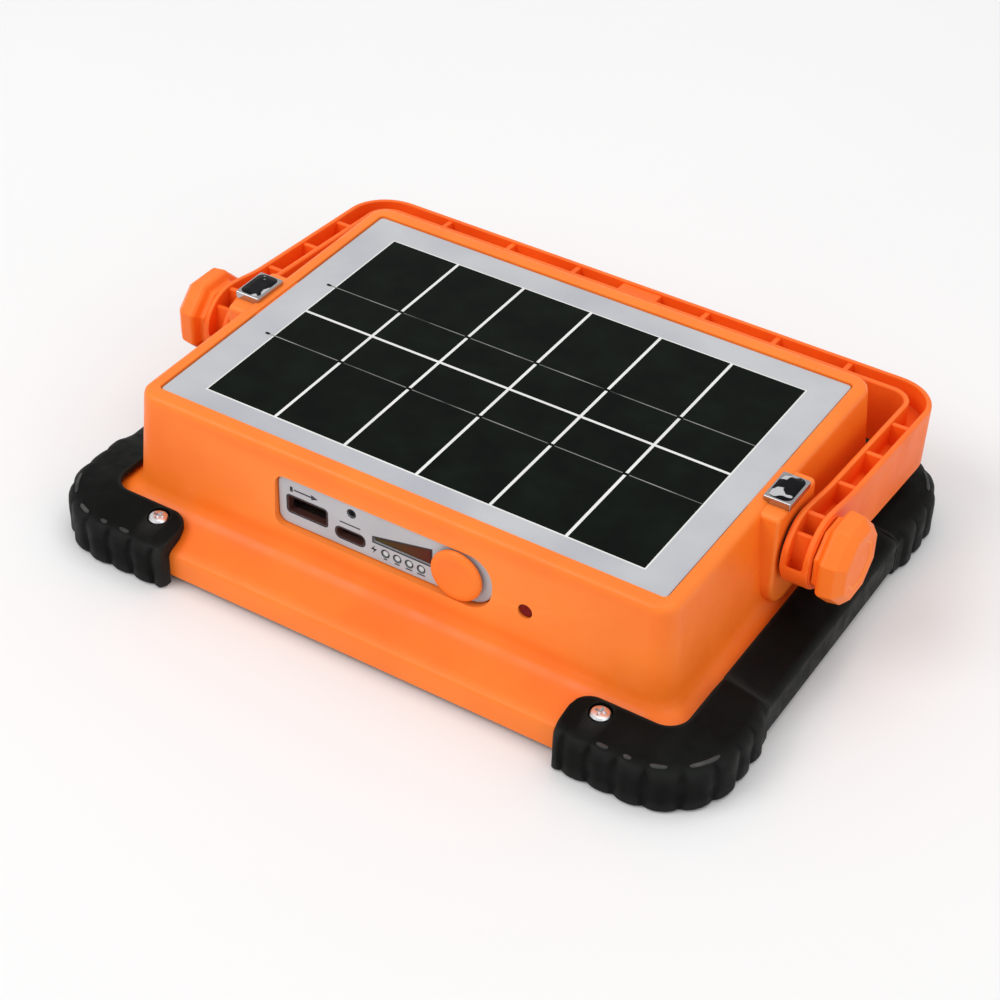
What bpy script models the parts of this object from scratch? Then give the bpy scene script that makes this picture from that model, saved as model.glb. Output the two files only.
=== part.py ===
"""Portable solar flood light: LED face down, solar panel up, carrying handle folded round the back.

Metres, +Z up. The origin is on the surface that the lamp lies on, under its middle.
+X runs along the lamp's long side, and -Y is the side with the sockets and the power button.
"""
import math

import bmesh
import bpy
from mathutils import Matrix, Vector

MM = 0.001
GAP = 0.3 * MM                      # left between two pieces that touch

# Outline of the widest part of the lamp, the flange behind the front cover.
FLANGE_X = 110.0 * MM               # half sizes
FLANGE_Y = 81.2 * MM
FLANGE_R = 18.0 * MM
RIM_Z = 2.2 * MM                    # front edge of the housing, above the table
WALL_X = 93.5 * MM                  # foot of the rear pan's wall
WALL_Y = 66.2 * MM
REAR_X = 90.9 * MM                  # head of the rear pan's wall
REAR_Y = 64.5 * MM
REAR_Z = 51.8 * MM                  # rim around the solar panel

PANEL_X = 86.0 * MM
PANEL_Y = 58.5 * MM
PANEL_TOP = 51.2 * MM
PANEL_T = 2.3 * MM
SEAL_T = 0.6 * MM
SEAL_W = 7.0 * MM

COVER_X = FLANGE_X - 2.3 * MM
COVER_Y = FLANGE_Y - 2.3 * MM
COVER_R = FLANGE_R - 2.3 * MM
COVER_T = 2.6 * MM
DECK_Z = RIM_Z + COVER_T + GAP      # front face of the reflector and of the gasket
DECK_T = 1.2 * MM
GASKET_T = 1.0 * MM
CUP_X = 47.35 * MM                  # middle of each of the four cups
CUP_Y = 35.25 * MM
CUP_MOUTH = (43.15 * MM, 30.75 * MM, 8.0 * MM)
CUP_FLOOR = (30.5 * MM, 20.0 * MM, 5.0 * MM)
CUP_TOP = 21.5 * MM
CUP_WALL = 1.2 * MM
LED_BOARD = (33.0 * MM, 22.0 * MM, 1.6 * MM)

PIVOT_Z = 36.5 * MM                 # the handle's axis, along X through the middle of the lamp
POD_X = 96.8 * MM
POD_HALF = 12.0 * MM
POD_TOP = 51.0 * MM
POD_BOTTOM = 14.9 * MM
WASHER_T = 0.5 * MM
ARM_BOSS = 0.3 * MM                 # the round arm ends are a little thicker than the band
ARM_IN = POD_X + WASHER_T + 2.0 * GAP + ARM_BOSS
ARM_T = 8.8 * MM
ARM_OUT = ARM_IN + ARM_T
ARM_END_R = 12.0 * MM
BAND_HALF = 10.5 * MM               # half depth of the handle's flat band
BAR_OUT = 85.0 * MM                 # crossbar's outer face, from the axis
HANDLE_R = 15.0 * MM                # outer radius of the handle's two corners
HANDLE_TILT = math.radians(-4.0)    # the folded handle lies a little below level
POCKET_WALL = 1.8 * MM              # beside the pockets in the band's upper edge
POCKET_DEEP = 8.0 * MM
BAR_POCKETS = ((6.5, 22.5), (26.0, 48.0), (51.5, 73.5))     # mm, from the middle outwards
ARM_POCKETS = ((6.0, 19.0), (22.5, 38.5), (42.0, 57.5), (61.0, 74.0))   # mm, from the axis
KNOB_OUT = 118.0 * MM
KNOB_R = 14.3 * MM
BOLT_R = 3.0 * MM
BOLT_HOLE = BOLT_R + GAP

MAGNET = (4.4 * MM, 6.7 * MM, 2.6 * MM)
MAGNET_X = 92.9 * MM
MAGNET_TOP = 53.4 * MM

BUMPER_OUT = 5.3 * MM               # how far the corner bumpers stand out of the flange
BUMPER_END_X = 68.0 * MM            # where a bumper ends along the long and the short side
BUMPER_END_Y = 43.0 * MM
CAP_END_X = 79.0 * MM
CAP_END_Y = 55.5 * MM
CAP_INNER_X = 98.5 * MM
CAP_INNER_Y = 72.0 * MM
SCREW_X = 77.0 * MM
SCREW_Y = 74.4 * MM
SCREW_SEAT = 15.3 * MM

# The port plate on the -Y wall. Its features are placed as (x, z).
PLATE_Y = -63.9 * MM                # outer face
PLATE_T = 2.4 * MM
PLATE_LEFT = -39.2 * MM
PLATE_RIGHT = 35.4 * MM
PLATE_LOW = 25.8 * MM
PLATE_HIGH = 43.0 * MM
USB_A = (-28.9 * MM, 33.4 * MM)
USB_A_HALF = (7.0 * MM, 3.0 * MM)
USB_C = (-13.7 * MM, 30.6 * MM)
USB_C_HALF = (5.0 * MM, 1.9 * MM)
PINHOLE = (-13.1 * MM, 39.3 * MM)
GAUGE = ((-5.2 * MM, 32.8 * MM), (14.0 * MM, 32.8 * MM), (14.0 * MM, 38.1 * MM), (-5.2 * MM, 33.7 * MM))
GUIDE_X = (-1.4 * MM, 2.7 * MM, 6.8 * MM, 10.9 * MM)
GUIDE_Z = 29.7 * MM
BUTTON = (23.8 * MM, 34.5 * MM)
BUTTON_R = 8.5 * MM
BUTTON_STEM_R = 6.0 * MM
BUTTON_TRAVEL = 0.8 * MM
LAMP_DOT = (46.6 * MM, 32.2 * MM)   # red charging light beside the plate
LAMP_DOT_R = 2.0 * MM

BOARD_Z = 26.6 * MM
BOARD_T = 1.6 * MM
CELL_R = 9.2 * MM
CELL_HALF = 32.6 * MM
CELL_PITCH = 19.2 * MM
CELL_Z = 35.6 * MM
CELL_Y = 3.0 * MM

ROUND = 40                          # sides of a round piece
CORNER = 6                          # segments of a quarter turn


def clear_scene():
    for old in list(bpy.data.objects):
        bpy.data.objects.remove(old, do_unlink=True)


def material(name, colour, roughness, metallic=0.0):
    """A plain Principled material, made once for each name."""
    found = bpy.data.materials.get(name)
    if found:
        return found
    made = bpy.data.materials.new(name)
    made.use_nodes = True
    shader = made.node_tree.nodes["Principled BSDF"]
    shader.inputs["Base Color"].default_value = (*colour, 1.0)
    shader.inputs["Roughness"].default_value = roughness
    shader.inputs["Metallic"].default_value = metallic
    return made


def orange():
    return material("orange_abs", (0.95, 0.20, 0.03), 0.42)


def black_rubber():
    return material("black_rubber", (0.015, 0.015, 0.015), 0.60)


def steel():
    return material("steel", (0.60, 0.60, 0.60), 0.30, 1.0)


def finish_mesh(name, bm, paint, smooth_angle=35.0):
    """Turn a closed bmesh into a named object with its normals out."""
    bmesh.ops.recalc_face_normals(bm, faces=bm.faces)
    mesh = bpy.data.meshes.new(name)
    bm.to_mesh(mesh)
    bm.free()
    mesh.shade_smooth()
    mesh.set_sharp_from_angle(angle=math.radians(smooth_angle))
    piece = bpy.data.objects.new(name, mesh)
    bpy.context.collection.objects.link(piece)
    if paint:
        mesh.materials.append(paint)
    return piece


def rounded_rect(half_x, half_y, radii, mid=(0.0, 0.0), segments=CORNER):
    """Anticlockwise outline from the +X +Y corner; radii is one number or one for each corner."""
    if not isinstance(radii, (tuple, list)):
        radii = (radii,) * 4
    signs = ((1, 1), (-1, 1), (-1, -1), (1, -1))
    outline = []
    for turn, ((sx, sy), radius) in enumerate(zip(signs, radii)):
        centre = (mid[0] + sx * (half_x - radius), mid[1] + sy * (half_y - radius))
        for step in range(segments + 1):
            angle = math.radians(90.0 * (turn + step / segments))
            outline.append((centre[0] + radius * math.cos(angle), centre[1] + radius * math.sin(angle)))
    return outline


def circle(radius, mid=(0.0, 0.0), sides=ROUND):
    angles = [2.0 * math.pi * step / sides for step in range(sides)]
    return [(mid[0] + radius * math.cos(a), mid[1] + radius * math.sin(a)) for a in angles]


def loft(name, rings, paint=None, smooth_angle=35.0):
    """Skin a list of equal rings of 3-D points and cap both ends."""
    bm = bmesh.new()
    loops = [[bm.verts.new(point) for point in ring] for ring in rings]
    count = len(rings[0])
    for low, high in zip(loops, loops[1:]):
        for i in range(count):
            j = (i + 1) % count
            bm.faces.new((low[i], low[j], high[j], high[i]))
    bm.faces.new(loops[0])
    bm.faces.new(loops[-1])
    return finish_mesh(name, bm, paint, smooth_angle)


def ring_z(outline, z):
    return [(x, y, z) for x, y in outline]


def ring_y(outline, y):
    return [(x, y, z) for x, z in outline]


def ring_x(outline, x):
    return [(x, y, z) for y, z in outline]


def prism(name, outline, ring, low, high, paint=None):
    """Extrude a flat outline between two levels along the axis that ring stands for."""
    return loft(name, [ring(outline, low), ring(outline, high)], paint)


def box(name, low, high, paint=None):
    outline = [(low[0], low[1]), (high[0], low[1]), (high[0], high[1]), (low[0], high[1])]
    return prism(name, outline, ring_z, low[2], high[2], paint)


def turned_x(name, profile, mid_z, side, paint=None, sides=ROUND):
    """Solid of revolution about the axis along X at height mid_z; profile is (x, radius)."""
    rings = [ring_x(circle(radius, (0.0, mid_z), sides), side * x) for x, radius in profile]
    return loft(name, rings, paint)


def join(name, pieces):
    """Merge the meshes of several loose pieces into the first one."""
    bm = bmesh.new()
    for piece in pieces:
        bm.from_mesh(piece.data)
    for piece in pieces:
        bpy.data.objects.remove(piece, do_unlink=True)
    return finish_mesh(name, bm, None)


def combine(piece, operation, tool):
    """Cut or add a tool with an exact Boolean; the tool stays as a hidden guide."""
    step = piece.modifiers.new(operation.lower(), "BOOLEAN")
    step.operation = operation
    step.solver = "EXACT"
    step.object = tool
    tool.hide_render = True
    tool.display_type = "WIRE"


# ---------------------------------------------------------------- housing

def pan_ring(half_x, half_y, z, radius):
    return ring_z(rounded_rect(half_x * MM, half_y * MM, radius * MM), z * MM)


def pod_outline():
    """Arch that carries the handle: flat on top and round at its foot, as (y, z)."""
    centre = POD_BOTTOM + POD_HALF
    foot = [math.radians(180.0 + 180.0 * step / (2 * CORNER)) for step in range(2 * CORNER + 1)]
    outline = [(POD_HALF, POD_TOP), (-POD_HALF, POD_TOP)]
    return outline + [(POD_HALF * math.cos(a), centre + POD_HALF * math.sin(a)) for a in foot]


def make_housing():
    """Rear pan, flange and front rim as one shell, open at the front."""
    recess_x = PANEL_X / MM + 0.3
    recess_y = PANEL_Y / MM + 0.3
    recess_z = (PANEL_TOP - PANEL_T - SEAL_T) / MM - 0.6
    flange_x, flange_y, flange_r = FLANGE_X / MM, FLANGE_Y / MM, FLANGE_R / MM
    rim_z = RIM_Z / MM
    ledge_z = (DECK_Z + GASKET_T) / MM + 0.3
    shell = loft("rear_housing", [
        pan_ring(recess_x, recess_y, recess_z, 1.5),
        pan_ring(recess_x, recess_y, 51.4, 1.5),
        pan_ring(recess_x + 0.4, recess_y + 0.4, REAR_Z / MM, 1.9),
        pan_ring(89.0, 62.4, REAR_Z / MM, 4.6),
        pan_ring(90.3, 63.8, 51.1, 5.8),
        pan_ring(REAR_X / MM, REAR_Y / MM, 49.5, 6.4),
        pan_ring(WALL_X / MM, WALL_Y / MM, 20.0, 8.0),
        pan_ring(94.4, 67.2, 17.0, 8.5),
        pan_ring(97.5, 70.5, 14.6, 9.0),
        pan_ring(flange_x - 2.5, flange_y - 2.5, 11.6, flange_r - 2.5),
        pan_ring(flange_x - 0.6, flange_y - 0.6, 10.7, flange_r - 0.6),
        pan_ring(flange_x, flange_y, 9.4, flange_r),
        pan_ring(flange_x, flange_y, rim_z + 0.5, flange_r),
        pan_ring(flange_x - 0.5, flange_y - 0.5, rim_z, flange_r - 0.5),
        pan_ring(flange_x - 2.0, flange_y - 2.0, rim_z, flange_r - 2.0),
        pan_ring(flange_x - 2.0, flange_y - 2.0, ledge_z, flange_r - 2.0),
        pan_ring(flange_x - 6.5, flange_y - 6.5, ledge_z, flange_r - 6.5),
        pan_ring(flange_x - 6.5, flange_y - 6.5, 9.4, flange_r - 6.5),
        pan_ring(96.0, 69.4, 12.0, 8.0),
        pan_ring(91.0, 63.8, 17.0, 6.0),
        pan_ring(88.2, 62.0, 45.2, 4.0),
    ], orange(), 28.0)
    pods = [
        prism(f"pod_{side}", pod_outline(), ring_x, sign * 86.9 * MM, sign * POD_X)
        for side, sign in (("left", -1), ("right", 1))
    ]
    combine(shell, "UNION", join("pods", pods))
    combine(shell, "DIFFERENCE", join("housing_holes", housing_holes()))
    return shell


def plate_outline(grow):
    """Outline of the port plate, whose +X end is rounder than its other end."""
    half_x = 0.5 * (PLATE_RIGHT - PLATE_LEFT) + grow
    half_z = 0.5 * (PLATE_HIGH - PLATE_LOW) + grow
    mid = (0.5 * (PLATE_RIGHT + PLATE_LEFT), 0.5 * (PLATE_HIGH + PLATE_LOW))
    radii = (8.0 * MM + grow, 3.2 * MM + grow, 3.2 * MM + grow, 8.0 * MM + grow)
    return rounded_rect(half_x, half_z, radii, mid)


def housing_holes():
    """Cutters for the port plate, the red light, the pivots, the magnets and the screws."""
    outside, inside = -75.0 * MM, -58.0 * MM
    holes = [
        prism("plate_hole", plate_outline(GAP), ring_y, outside, inside),
        prism("dot_hole", circle(LAMP_DOT_R + GAP, LAMP_DOT, 20), ring_y, outside, inside),
        prism("lead_hole", circle(3.0 * MM, (60.0 * MM, 0.0), 16), ring_z, 44.0 * MM, 49.0 * MM),
    ]
    for sign in (-1, 1):
        holes.append(prism("bolt_hole", circle(BOLT_HOLE, (0.0, PIVOT_Z)), ring_x,
                           sign * 84.0 * MM, sign * 100.0 * MM))
        x0, x1 = sorted((sign * (MAGNET_X - MAGNET[0] - GAP), sign * (POD_X + MM)))
        low = (x0, -MAGNET[1] - GAP, MAGNET_TOP - MAGNET[2] - GAP)
        high = (x1, MAGNET[1] + GAP, MAGNET_TOP + MM)
        holes.append(box("magnet_seat", low, high))
        for end in (-1, 1):
            mid = (sign * SCREW_X, end * SCREW_Y)
            holes.append(prism("screw_hole", circle(1.8 * MM, mid, 16), ring_z, 7.0 * MM, 20.0 * MM))
    return holes


# ---------------------------------------------------------------- front

def framed(name, outer, inner, low, high, paint):
    """Flat ring between two outlines with the same number of points."""
    rings = [ring_z(outer, low), ring_z(outer, high), ring_z(inner, high), ring_z(inner, low)]
    bm = bmesh.new()
    loops = [[bm.verts.new(point) for point in ring] for ring in rings]
    count = len(outer)
    for k, loop in enumerate(loops):
        following = loops[(k + 1) % len(loops)]
        for i in range(count):
            j = (i + 1) % count
            bm.faces.new((loop[i], loop[j], following[j], following[i]))
    return finish_mesh(name, bm, paint)


def make_front():
    cover = rounded_rect(COVER_X, COVER_Y, COVER_R)
    clear = material("clear_cover", (0.80, 0.82, 0.82), 0.08)
    prism("front_cover", cover, ring_z, RIM_Z, RIM_Z + COVER_T, clear)
    outer = rounded_rect(COVER_X, COVER_Y, COVER_R)
    inner = rounded_rect(COVER_X - 4.4 * MM, COVER_Y - 4.4 * MM, COVER_R - 4.4 * MM)
    seal = material("grey_silicone", (0.30, 0.30, 0.30), 0.70)
    framed("cover_gasket", outer, inner, DECK_Z, DECK_Z + GASKET_T, seal)
    make_reflector()
    board = material("white_board", (0.85, 0.86, 0.82), 0.45)
    for number, mid in enumerate(cup_middles(), 1):
        outline = rounded_rect(LED_BOARD[0], LED_BOARD[1], 1.5 * MM, mid, 2)
        low = CUP_TOP + GAP
        prism(f"led_board_{number}", outline, ring_z, low, low + LED_BOARD[2], board)


def cup_middles():
    return [(sx * CUP_X, sy * CUP_Y) for sy in (1, -1) for sx in (-1, 1)]


def cup_frustum(mid, grow, low, high):
    """Tapered cup between two levels, its size taken from the mouth's and the floor's."""
    rings = []
    for z in (low, high):
        share = (z - DECK_Z) / (CUP_TOP - DECK_Z)
        half_x, half_y, radius = (m + (f - m) * share + grow for m, f in zip(CUP_MOUTH, CUP_FLOOR))
        rings.append(ring_z(rounded_rect(half_x, half_y, radius, mid, 4), z))
    return loft("cup", rings)


def make_reflector():
    """One deck with four open-ended cups."""
    outline = rounded_rect(FLANGE_X - 7.5 * MM, FLANGE_Y - 7.5 * MM, FLANGE_R - 7.5 * MM, segments=4)
    silver = material("silvered_plastic", (0.80, 0.82, 0.85), 0.12, 1.0)
    deck = prism("reflector_tray", outline, ring_z, DECK_Z, DECK_Z + DECK_T, silver)
    step = 0.2 * MM
    outsides = [cup_frustum(mid, CUP_WALL, DECK_Z + step, CUP_TOP) for mid in cup_middles()]
    insides = [cup_frustum(mid, 0.0, DECK_Z - MM, CUP_TOP + MM) for mid in cup_middles()]
    combine(deck, "UNION", join("cup_outsides", outsides))
    combine(deck, "DIFFERENCE", join("cup_insides", insides))


# ---------------------------------------------------------------- corners

def flange_path(sign_x, sign_y, end_x, end_y):
    """Points on the flange's outline round one corner, each with its outward direction."""
    centre = Vector((sign_x * (FLANGE_X - FLANGE_R), sign_y * (FLANGE_Y - FLANGE_R)))
    stations = [(Vector((sign_x * end_x, sign_y * FLANGE_Y)), Vector((0.0, sign_y)))]
    for step in range(CORNER + 2):
        angle = math.radians(90.0 - 90.0 * step / (CORNER + 1))
        out = Vector((sign_x * math.cos(angle), sign_y * math.sin(angle)))
        stations.append((centre + out * FLANGE_R, out))
    stations.append((Vector((sign_x * FLANGE_X, sign_y * end_y)), Vector((sign_x, 0.0))))
    return stations


def swept(name, stations, section, paint):
    """Sweep a section of (outward offset, height) along a path."""
    rings = []
    for point, out in stations:
        spots = [(point + out * offset * MM, height * MM) for offset, height in section]
        rings.append([(spot.x, spot.y, z) for spot, z in spots])
    return loft(name, rings, paint)


def flange_cover_section(out, low, shoulder, back):
    """Strip that hugs the flange: its outer side, its sloping back and the underside."""
    return [
        (0.3, low), (out - 0.4, low), (out, low + 0.5), (out, shoulder), (out - 1.4, shoulder + 1.5),
        (-11.1, back), (-11.5, back - 0.4),
        (-11.5, 15.9), (-11.0, 15.3), (-2.4, 12.0), (-0.4, 11.2), (0.3, 9.8),
    ]


CORNERS = (("front_left", -1, -1), ("front_right", 1, -1), ("back_right", 1, 1), ("back_left", -1, 1))


def make_corners():
    section = flange_cover_section(BUMPER_OUT / MM, 0.0, 13.2, 17.6)
    for name, sx, sy in CORNERS:
        path = flange_path(sx, sy, BUMPER_END_X, BUMPER_END_Y)
        bumper = swept(f"bumper_{name}", path, section, black_rubber())
        mid = (sx * SCREW_X, sy * SCREW_Y)
        bores = [
            prism("counterbore", circle(3.5 * MM, mid, 20), ring_z, SCREW_SEAT, 25.0 * MM),
            prism("shank_hole", circle(1.8 * MM, mid, 16), ring_z, 9.0 * MM, SCREW_SEAT + MM),
        ]
        for number, bore in enumerate(bores):
            bore.name = f"bumper_bore_{name}_{number}"
            combine(bumper, "DIFFERENCE", bore)
        make_screw(f"bumper_screw_{name}", mid)
        make_cap(f"corner_cap_{name}", sx, sy)
    strip = flange_cover_section(3.4, RIM_Z / MM, 12.0, 17.0)
    for side, sign in (("left", -1), ("right", 1)):
        end = BUMPER_END_Y - GAP
        ends = [(Vector((sign * FLANGE_X, y)), Vector((sign, 0.0))) for y in (-end, end)]
        swept(f"side_bar_{side}", ends, strip, black_rubber())


def make_screw(name, mid):
    """Pan-head screw, head up."""
    profile = ((7.2, 0.9), (8.2, 1.5), (15.6, 1.5), (15.6, 3.1), (16.6, 3.1), (17.2, 2.3))
    rings = [ring_z(circle(radius * MM, mid, 20), z * MM) for z, radius in profile]
    loft(name, rings, steel())


def make_cap(name, sx, sy):
    """Flat L-shaped cap on the front of a corner."""
    outer = [station[0] for station in flange_path(sx, sy, CAP_END_X, CAP_END_Y)]
    inner_r = 6.0 * MM
    centre = Vector((sx * (CAP_INNER_X - inner_r), sy * (CAP_INNER_Y - inner_r)))
    inner = [Vector((sx * CAP_INNER_X, sy * CAP_END_Y))]
    for step in range(CORNER + 1):
        angle = math.radians(90.0 * step / CORNER)
        inner.append(centre + inner_r * Vector((sx * math.cos(angle), sy * math.sin(angle))))
    inner.append(Vector((sx * CAP_END_X, sy * CAP_INNER_Y)))
    outline = [(point.x, point.y) for point in outer + inner]
    prism(name, outline, ring_z, GAP, RIM_Z - GAP, orange())


# ---------------------------------------------------------------- solar panel and magnets

def make_panel():
    """Laminate in its recess, on a ring of sealing tape."""
    cells = material("solar_laminate", (0.03, 0.04, 0.04), 0.20)
    outline = rounded_rect(PANEL_X, PANEL_Y, 1.2 * MM, segments=2)
    prism("solar_panel", outline, ring_z, PANEL_TOP - PANEL_T, PANEL_TOP, cells)
    tape = material("seal_tape", (0.05, 0.05, 0.05), 0.80)
    high = PANEL_TOP - PANEL_T - GAP
    inner = rounded_rect(PANEL_X - SEAL_W, PANEL_Y - SEAL_W, 1.2 * MM, segments=2)
    framed("panel_seal", outline, inner, high - SEAL_T, high, tape)


def make_magnets():
    chrome = material("plated_magnet", (0.75, 0.76, 0.78), 0.10, 1.0)
    for side, sign in (("left", -1), ("right", 1)):
        outline = rounded_rect(MAGNET[0], MAGNET[1], 0.6 * MM, (sign * MAGNET_X, 0.0), 2)
        prism(f"magnet_{side}", outline, ring_z, MAGNET_TOP - MAGNET[2], MAGNET_TOP, chrome)


# ---------------------------------------------------------------- port plate and electronics

def slot_outline(mid, half):
    return rounded_rect(half[0], half[1], min(half) * 0.3, mid, 2)


def grown_wedge(grow):
    """The gauge window's outline, grown outwards by a margin."""
    (left, low), (right, _), (_, high), (_, tip) = GAUGE
    return [(left - grow, low - grow), (right + grow, low - grow),
            (right + grow, high + 1.2 * grow), (left - grow, tip + 1.2 * grow)]


def make_port_plate():
    silver = material("silver_plastic", (0.55, 0.57, 0.60), 0.35)
    plate = prism("port_plate", plate_outline(0.0), ring_y, PLATE_Y, PLATE_Y + PLATE_T, silver)
    front, back = PLATE_Y - MM, PLATE_Y + PLATE_T + MM
    usb_c_outline = rounded_rect(USB_C_HALF[0], USB_C_HALF[1], 1.6 * MM, USB_C, 4)
    holes = [
        prism("usb_a_hole", slot_outline(USB_A, USB_A_HALF), ring_y, front, back),
        prism("usb_c_hole", usb_c_outline, ring_y, front, back),
        prism("pinhole", circle(1.3 * MM, PINHOLE, 16), ring_y, front, back),
        prism("gauge_hole", grown_wedge(GAP), ring_y, front, back),
        prism("button_hole", circle(BUTTON_STEM_R + GAP, BUTTON), ring_y, front, back),
    ]
    for x in GUIDE_X:
        holes.append(prism("guide_hole", circle(1.2 * MM, (x, GUIDE_Z), 16), ring_y, front, back))
    combine(plate, "DIFFERENCE", join("plate_holes", holes))
    amber = material("gauge_amber", (0.28, 0.10, 0.02), 0.15)
    prism("gauge_window", grown_wedge(0.0), ring_y, PLATE_Y + 0.4 * MM, PLATE_Y + PLATE_T, amber)
    make_button()
    make_light_guide()
    red = material("red_lens", (0.30, 0.01, 0.01), 0.15)
    profile = ((-65.6, 1.4), (-65.2, 2.0), (-61.5, 2.0), (-61.5, 2.8), (-60.3, 2.8))
    rings = [ring_y(circle(radius * MM, LAMP_DOT, 20), y * MM) for y, radius in profile]
    loft("charge_light", rings, red)


def make_button():
    """Round push button: a broad head in front of the plate and a stem through it."""
    head = PLATE_Y - BUTTON_TRAVEL - GAP
    back = PLATE_Y + PLATE_T + 0.6 * MM
    profile = (
        (head - 1.8 * MM, BUTTON_R - 2.0 * MM), (head - 1.6 * MM, BUTTON_R - 0.8 * MM),
        (head - 1.0 * MM, BUTTON_R), (head, BUTTON_R), (head, BUTTON_STEM_R), (back, BUTTON_STEM_R),
    )
    rings = [ring_y(circle(radius, BUTTON, 32), y) for y, radius in profile]
    loft("power_button", rings, orange())
    switch_y = back + BUTTON_TRAVEL + GAP
    low = (BUTTON[0] - 3.0 * MM, switch_y, BOARD_Z + BOARD_T + GAP)
    high = (BUTTON[0] + 3.0 * MM, switch_y + 5.0 * MM, BUTTON[1] + 3.0 * MM)
    box("push_switch", low, high, material("switch_black", (0.03, 0.03, 0.03), 0.50))


def make_light_guide():
    """Comb of four light pipes on one bar behind the plate."""
    clear = material("clear_guide", (0.80, 0.85, 0.85), 0.10)
    back = PLATE_Y + PLATE_T + GAP
    low = (GUIDE_X[0] - 2.0 * MM, back, GUIDE_Z - 1.2 * MM)
    high = (GUIDE_X[-1] + 2.0 * MM, back + 1.6 * MM, GUIDE_Z + 1.6 * MM)
    bar = box("light_guide", low, high, clear)
    pipes = [
        prism("pipe", circle(0.9 * MM, (x, GUIDE_Z), 12), ring_y, PLATE_Y + 0.2 * MM, back + 0.8 * MM)
        for x in GUIDE_X
    ]
    combine(bar, "UNION", join("light_pipes", pipes))


def make_sockets():
    """USB sockets on the control board, mouths level with the back of the plate."""
    metal = steel()
    mouth = PLATE_Y + PLATE_T + GAP
    seat = BOARD_Z + BOARD_T + GAP
    usb_a = box("usb_a_socket", (USB_A[0] - 7.2 * MM, mouth, seat),
                (USB_A[0] + 7.2 * MM, mouth + 14.0 * MM, USB_A[1] + 3.4 * MM), metal)
    hollow = box("usb_a_hollow", (USB_A[0] - 6.4 * MM, mouth - MM, USB_A[1] - 2.6 * MM),
                 (USB_A[0] + 6.4 * MM, mouth + 11.5 * MM, USB_A[1] + 2.6 * MM))
    tongue = box("usb_a_tongue", (USB_A[0] - 5.5 * MM, mouth + 3.0 * MM, USB_A[1] + 0.3 * MM),
                 (USB_A[0] + 5.5 * MM, mouth + 12.5 * MM, USB_A[1] + 1.9 * MM))
    combine(usb_a, "DIFFERENCE", hollow)
    combine(usb_a, "UNION", tongue)
    outer = rounded_rect(4.9 * MM, 1.9 * MM, 1.5 * MM, USB_C, 4)
    inner = rounded_rect(4.2 * MM, 1.3 * MM, 1.2 * MM, USB_C, 4)
    usb_c = prism("usb_c_socket", outer, ring_y, mouth, mouth + 8.5 * MM, metal)
    combine(usb_c, "DIFFERENCE", prism("usb_c_hollow", inner, ring_y, mouth - MM, mouth + 6.5 * MM))


def make_electronics():
    green = material("green_board", (0.02, 0.15, 0.05), 0.40)
    box("control_board", (-44.0 * MM, -61.0 * MM, BOARD_Z), (50.0 * MM, -33.0 * MM, BOARD_Z + BOARD_T), green)
    make_sockets()
    wrap = material("cell_wrap", (0.05, 0.15, 0.45), 0.35)
    middles = [CELL_Y + k * CELL_PITCH for k in (-1, 0, 1)]
    for number, y in enumerate(middles, 1):
        profile = (
            (-CELL_HALF, 8.6 * MM), (-CELL_HALF + 0.6 * MM, CELL_R), (CELL_HALF - 0.6 * MM, CELL_R),
            (CELL_HALF, 8.6 * MM), (CELL_HALF, 4.5 * MM), (CELL_HALF + 0.8 * MM, 4.2 * MM),
        )
        rings = [ring_x(circle(radius, (y, CELL_Z), 24), x) for x, radius in profile]
        loft(f"battery_cell_{number}", rings, wrap)
    make_battery_holder(middles)


def make_battery_holder(middles):
    """Extruded cradle: a floor with a round-sided rib between the cells, as (y, z)."""
    floor, low, rib = 26.0 * MM, 24.4 * MM, 30.0 * MM
    end = middles[-1] + 0.5 * CELL_PITCH + 1.6 * MM
    start = middles[0] - 0.5 * CELL_PITCH - 1.6 * MM
    outline = [(start, low), (end, low), (end, rib)]
    for y in reversed(middles):
        radius = CELL_R + GAP
        reach = math.acos((CELL_Z - rib) / radius)
        for step in range(9):
            angle = reach - 2.0 * reach * step / 8.0
            z = CELL_Z - radius * math.cos(angle)
            outline.append((y + radius * math.sin(angle), max(z, floor)))
    outline.append((start, rib))
    holder = material("holder_black", (0.02, 0.02, 0.02), 0.50)
    prism("battery_holder", outline, ring_x, -CELL_HALF + 3.0 * MM, CELL_HALF - 3.0 * MM, holder)


# ---------------------------------------------------------------- handle

def bail_outline(inset):
    """Half of the U seen from behind, from one pivot round to the other, as (x, reach)."""
    radius = HANDLE_R - inset
    side = ARM_OUT - inset
    top = BAR_OUT - inset
    outline = []
    for turn, sign in ((0, 1), (1, -1)):
        for step in range(CORNER + 1):
            angle = math.radians(90.0 * (turn + step / CORNER))
            outline.append((sign * (side - radius) + radius * math.cos(angle),
                            top - radius + radius * math.sin(angle)))
    return [(side, 0.0)] + outline + [(-side, 0.0)]


def make_band():
    """Flat band bent into a U, built level and reaching along +Y from the axis."""
    outer, inner = bail_outline(0.0), bail_outline(ARM_T)
    rings = []
    for (ox, oy), (ix, iy) in zip(outer, inner):
        rings.append([(ox, oy, -BAND_HALF), (ox, oy, BAND_HALF), (ix, iy, BAND_HALF), (ix, iy, -BAND_HALF)])
    return loft("handle", rings, orange(), 25.0)


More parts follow.
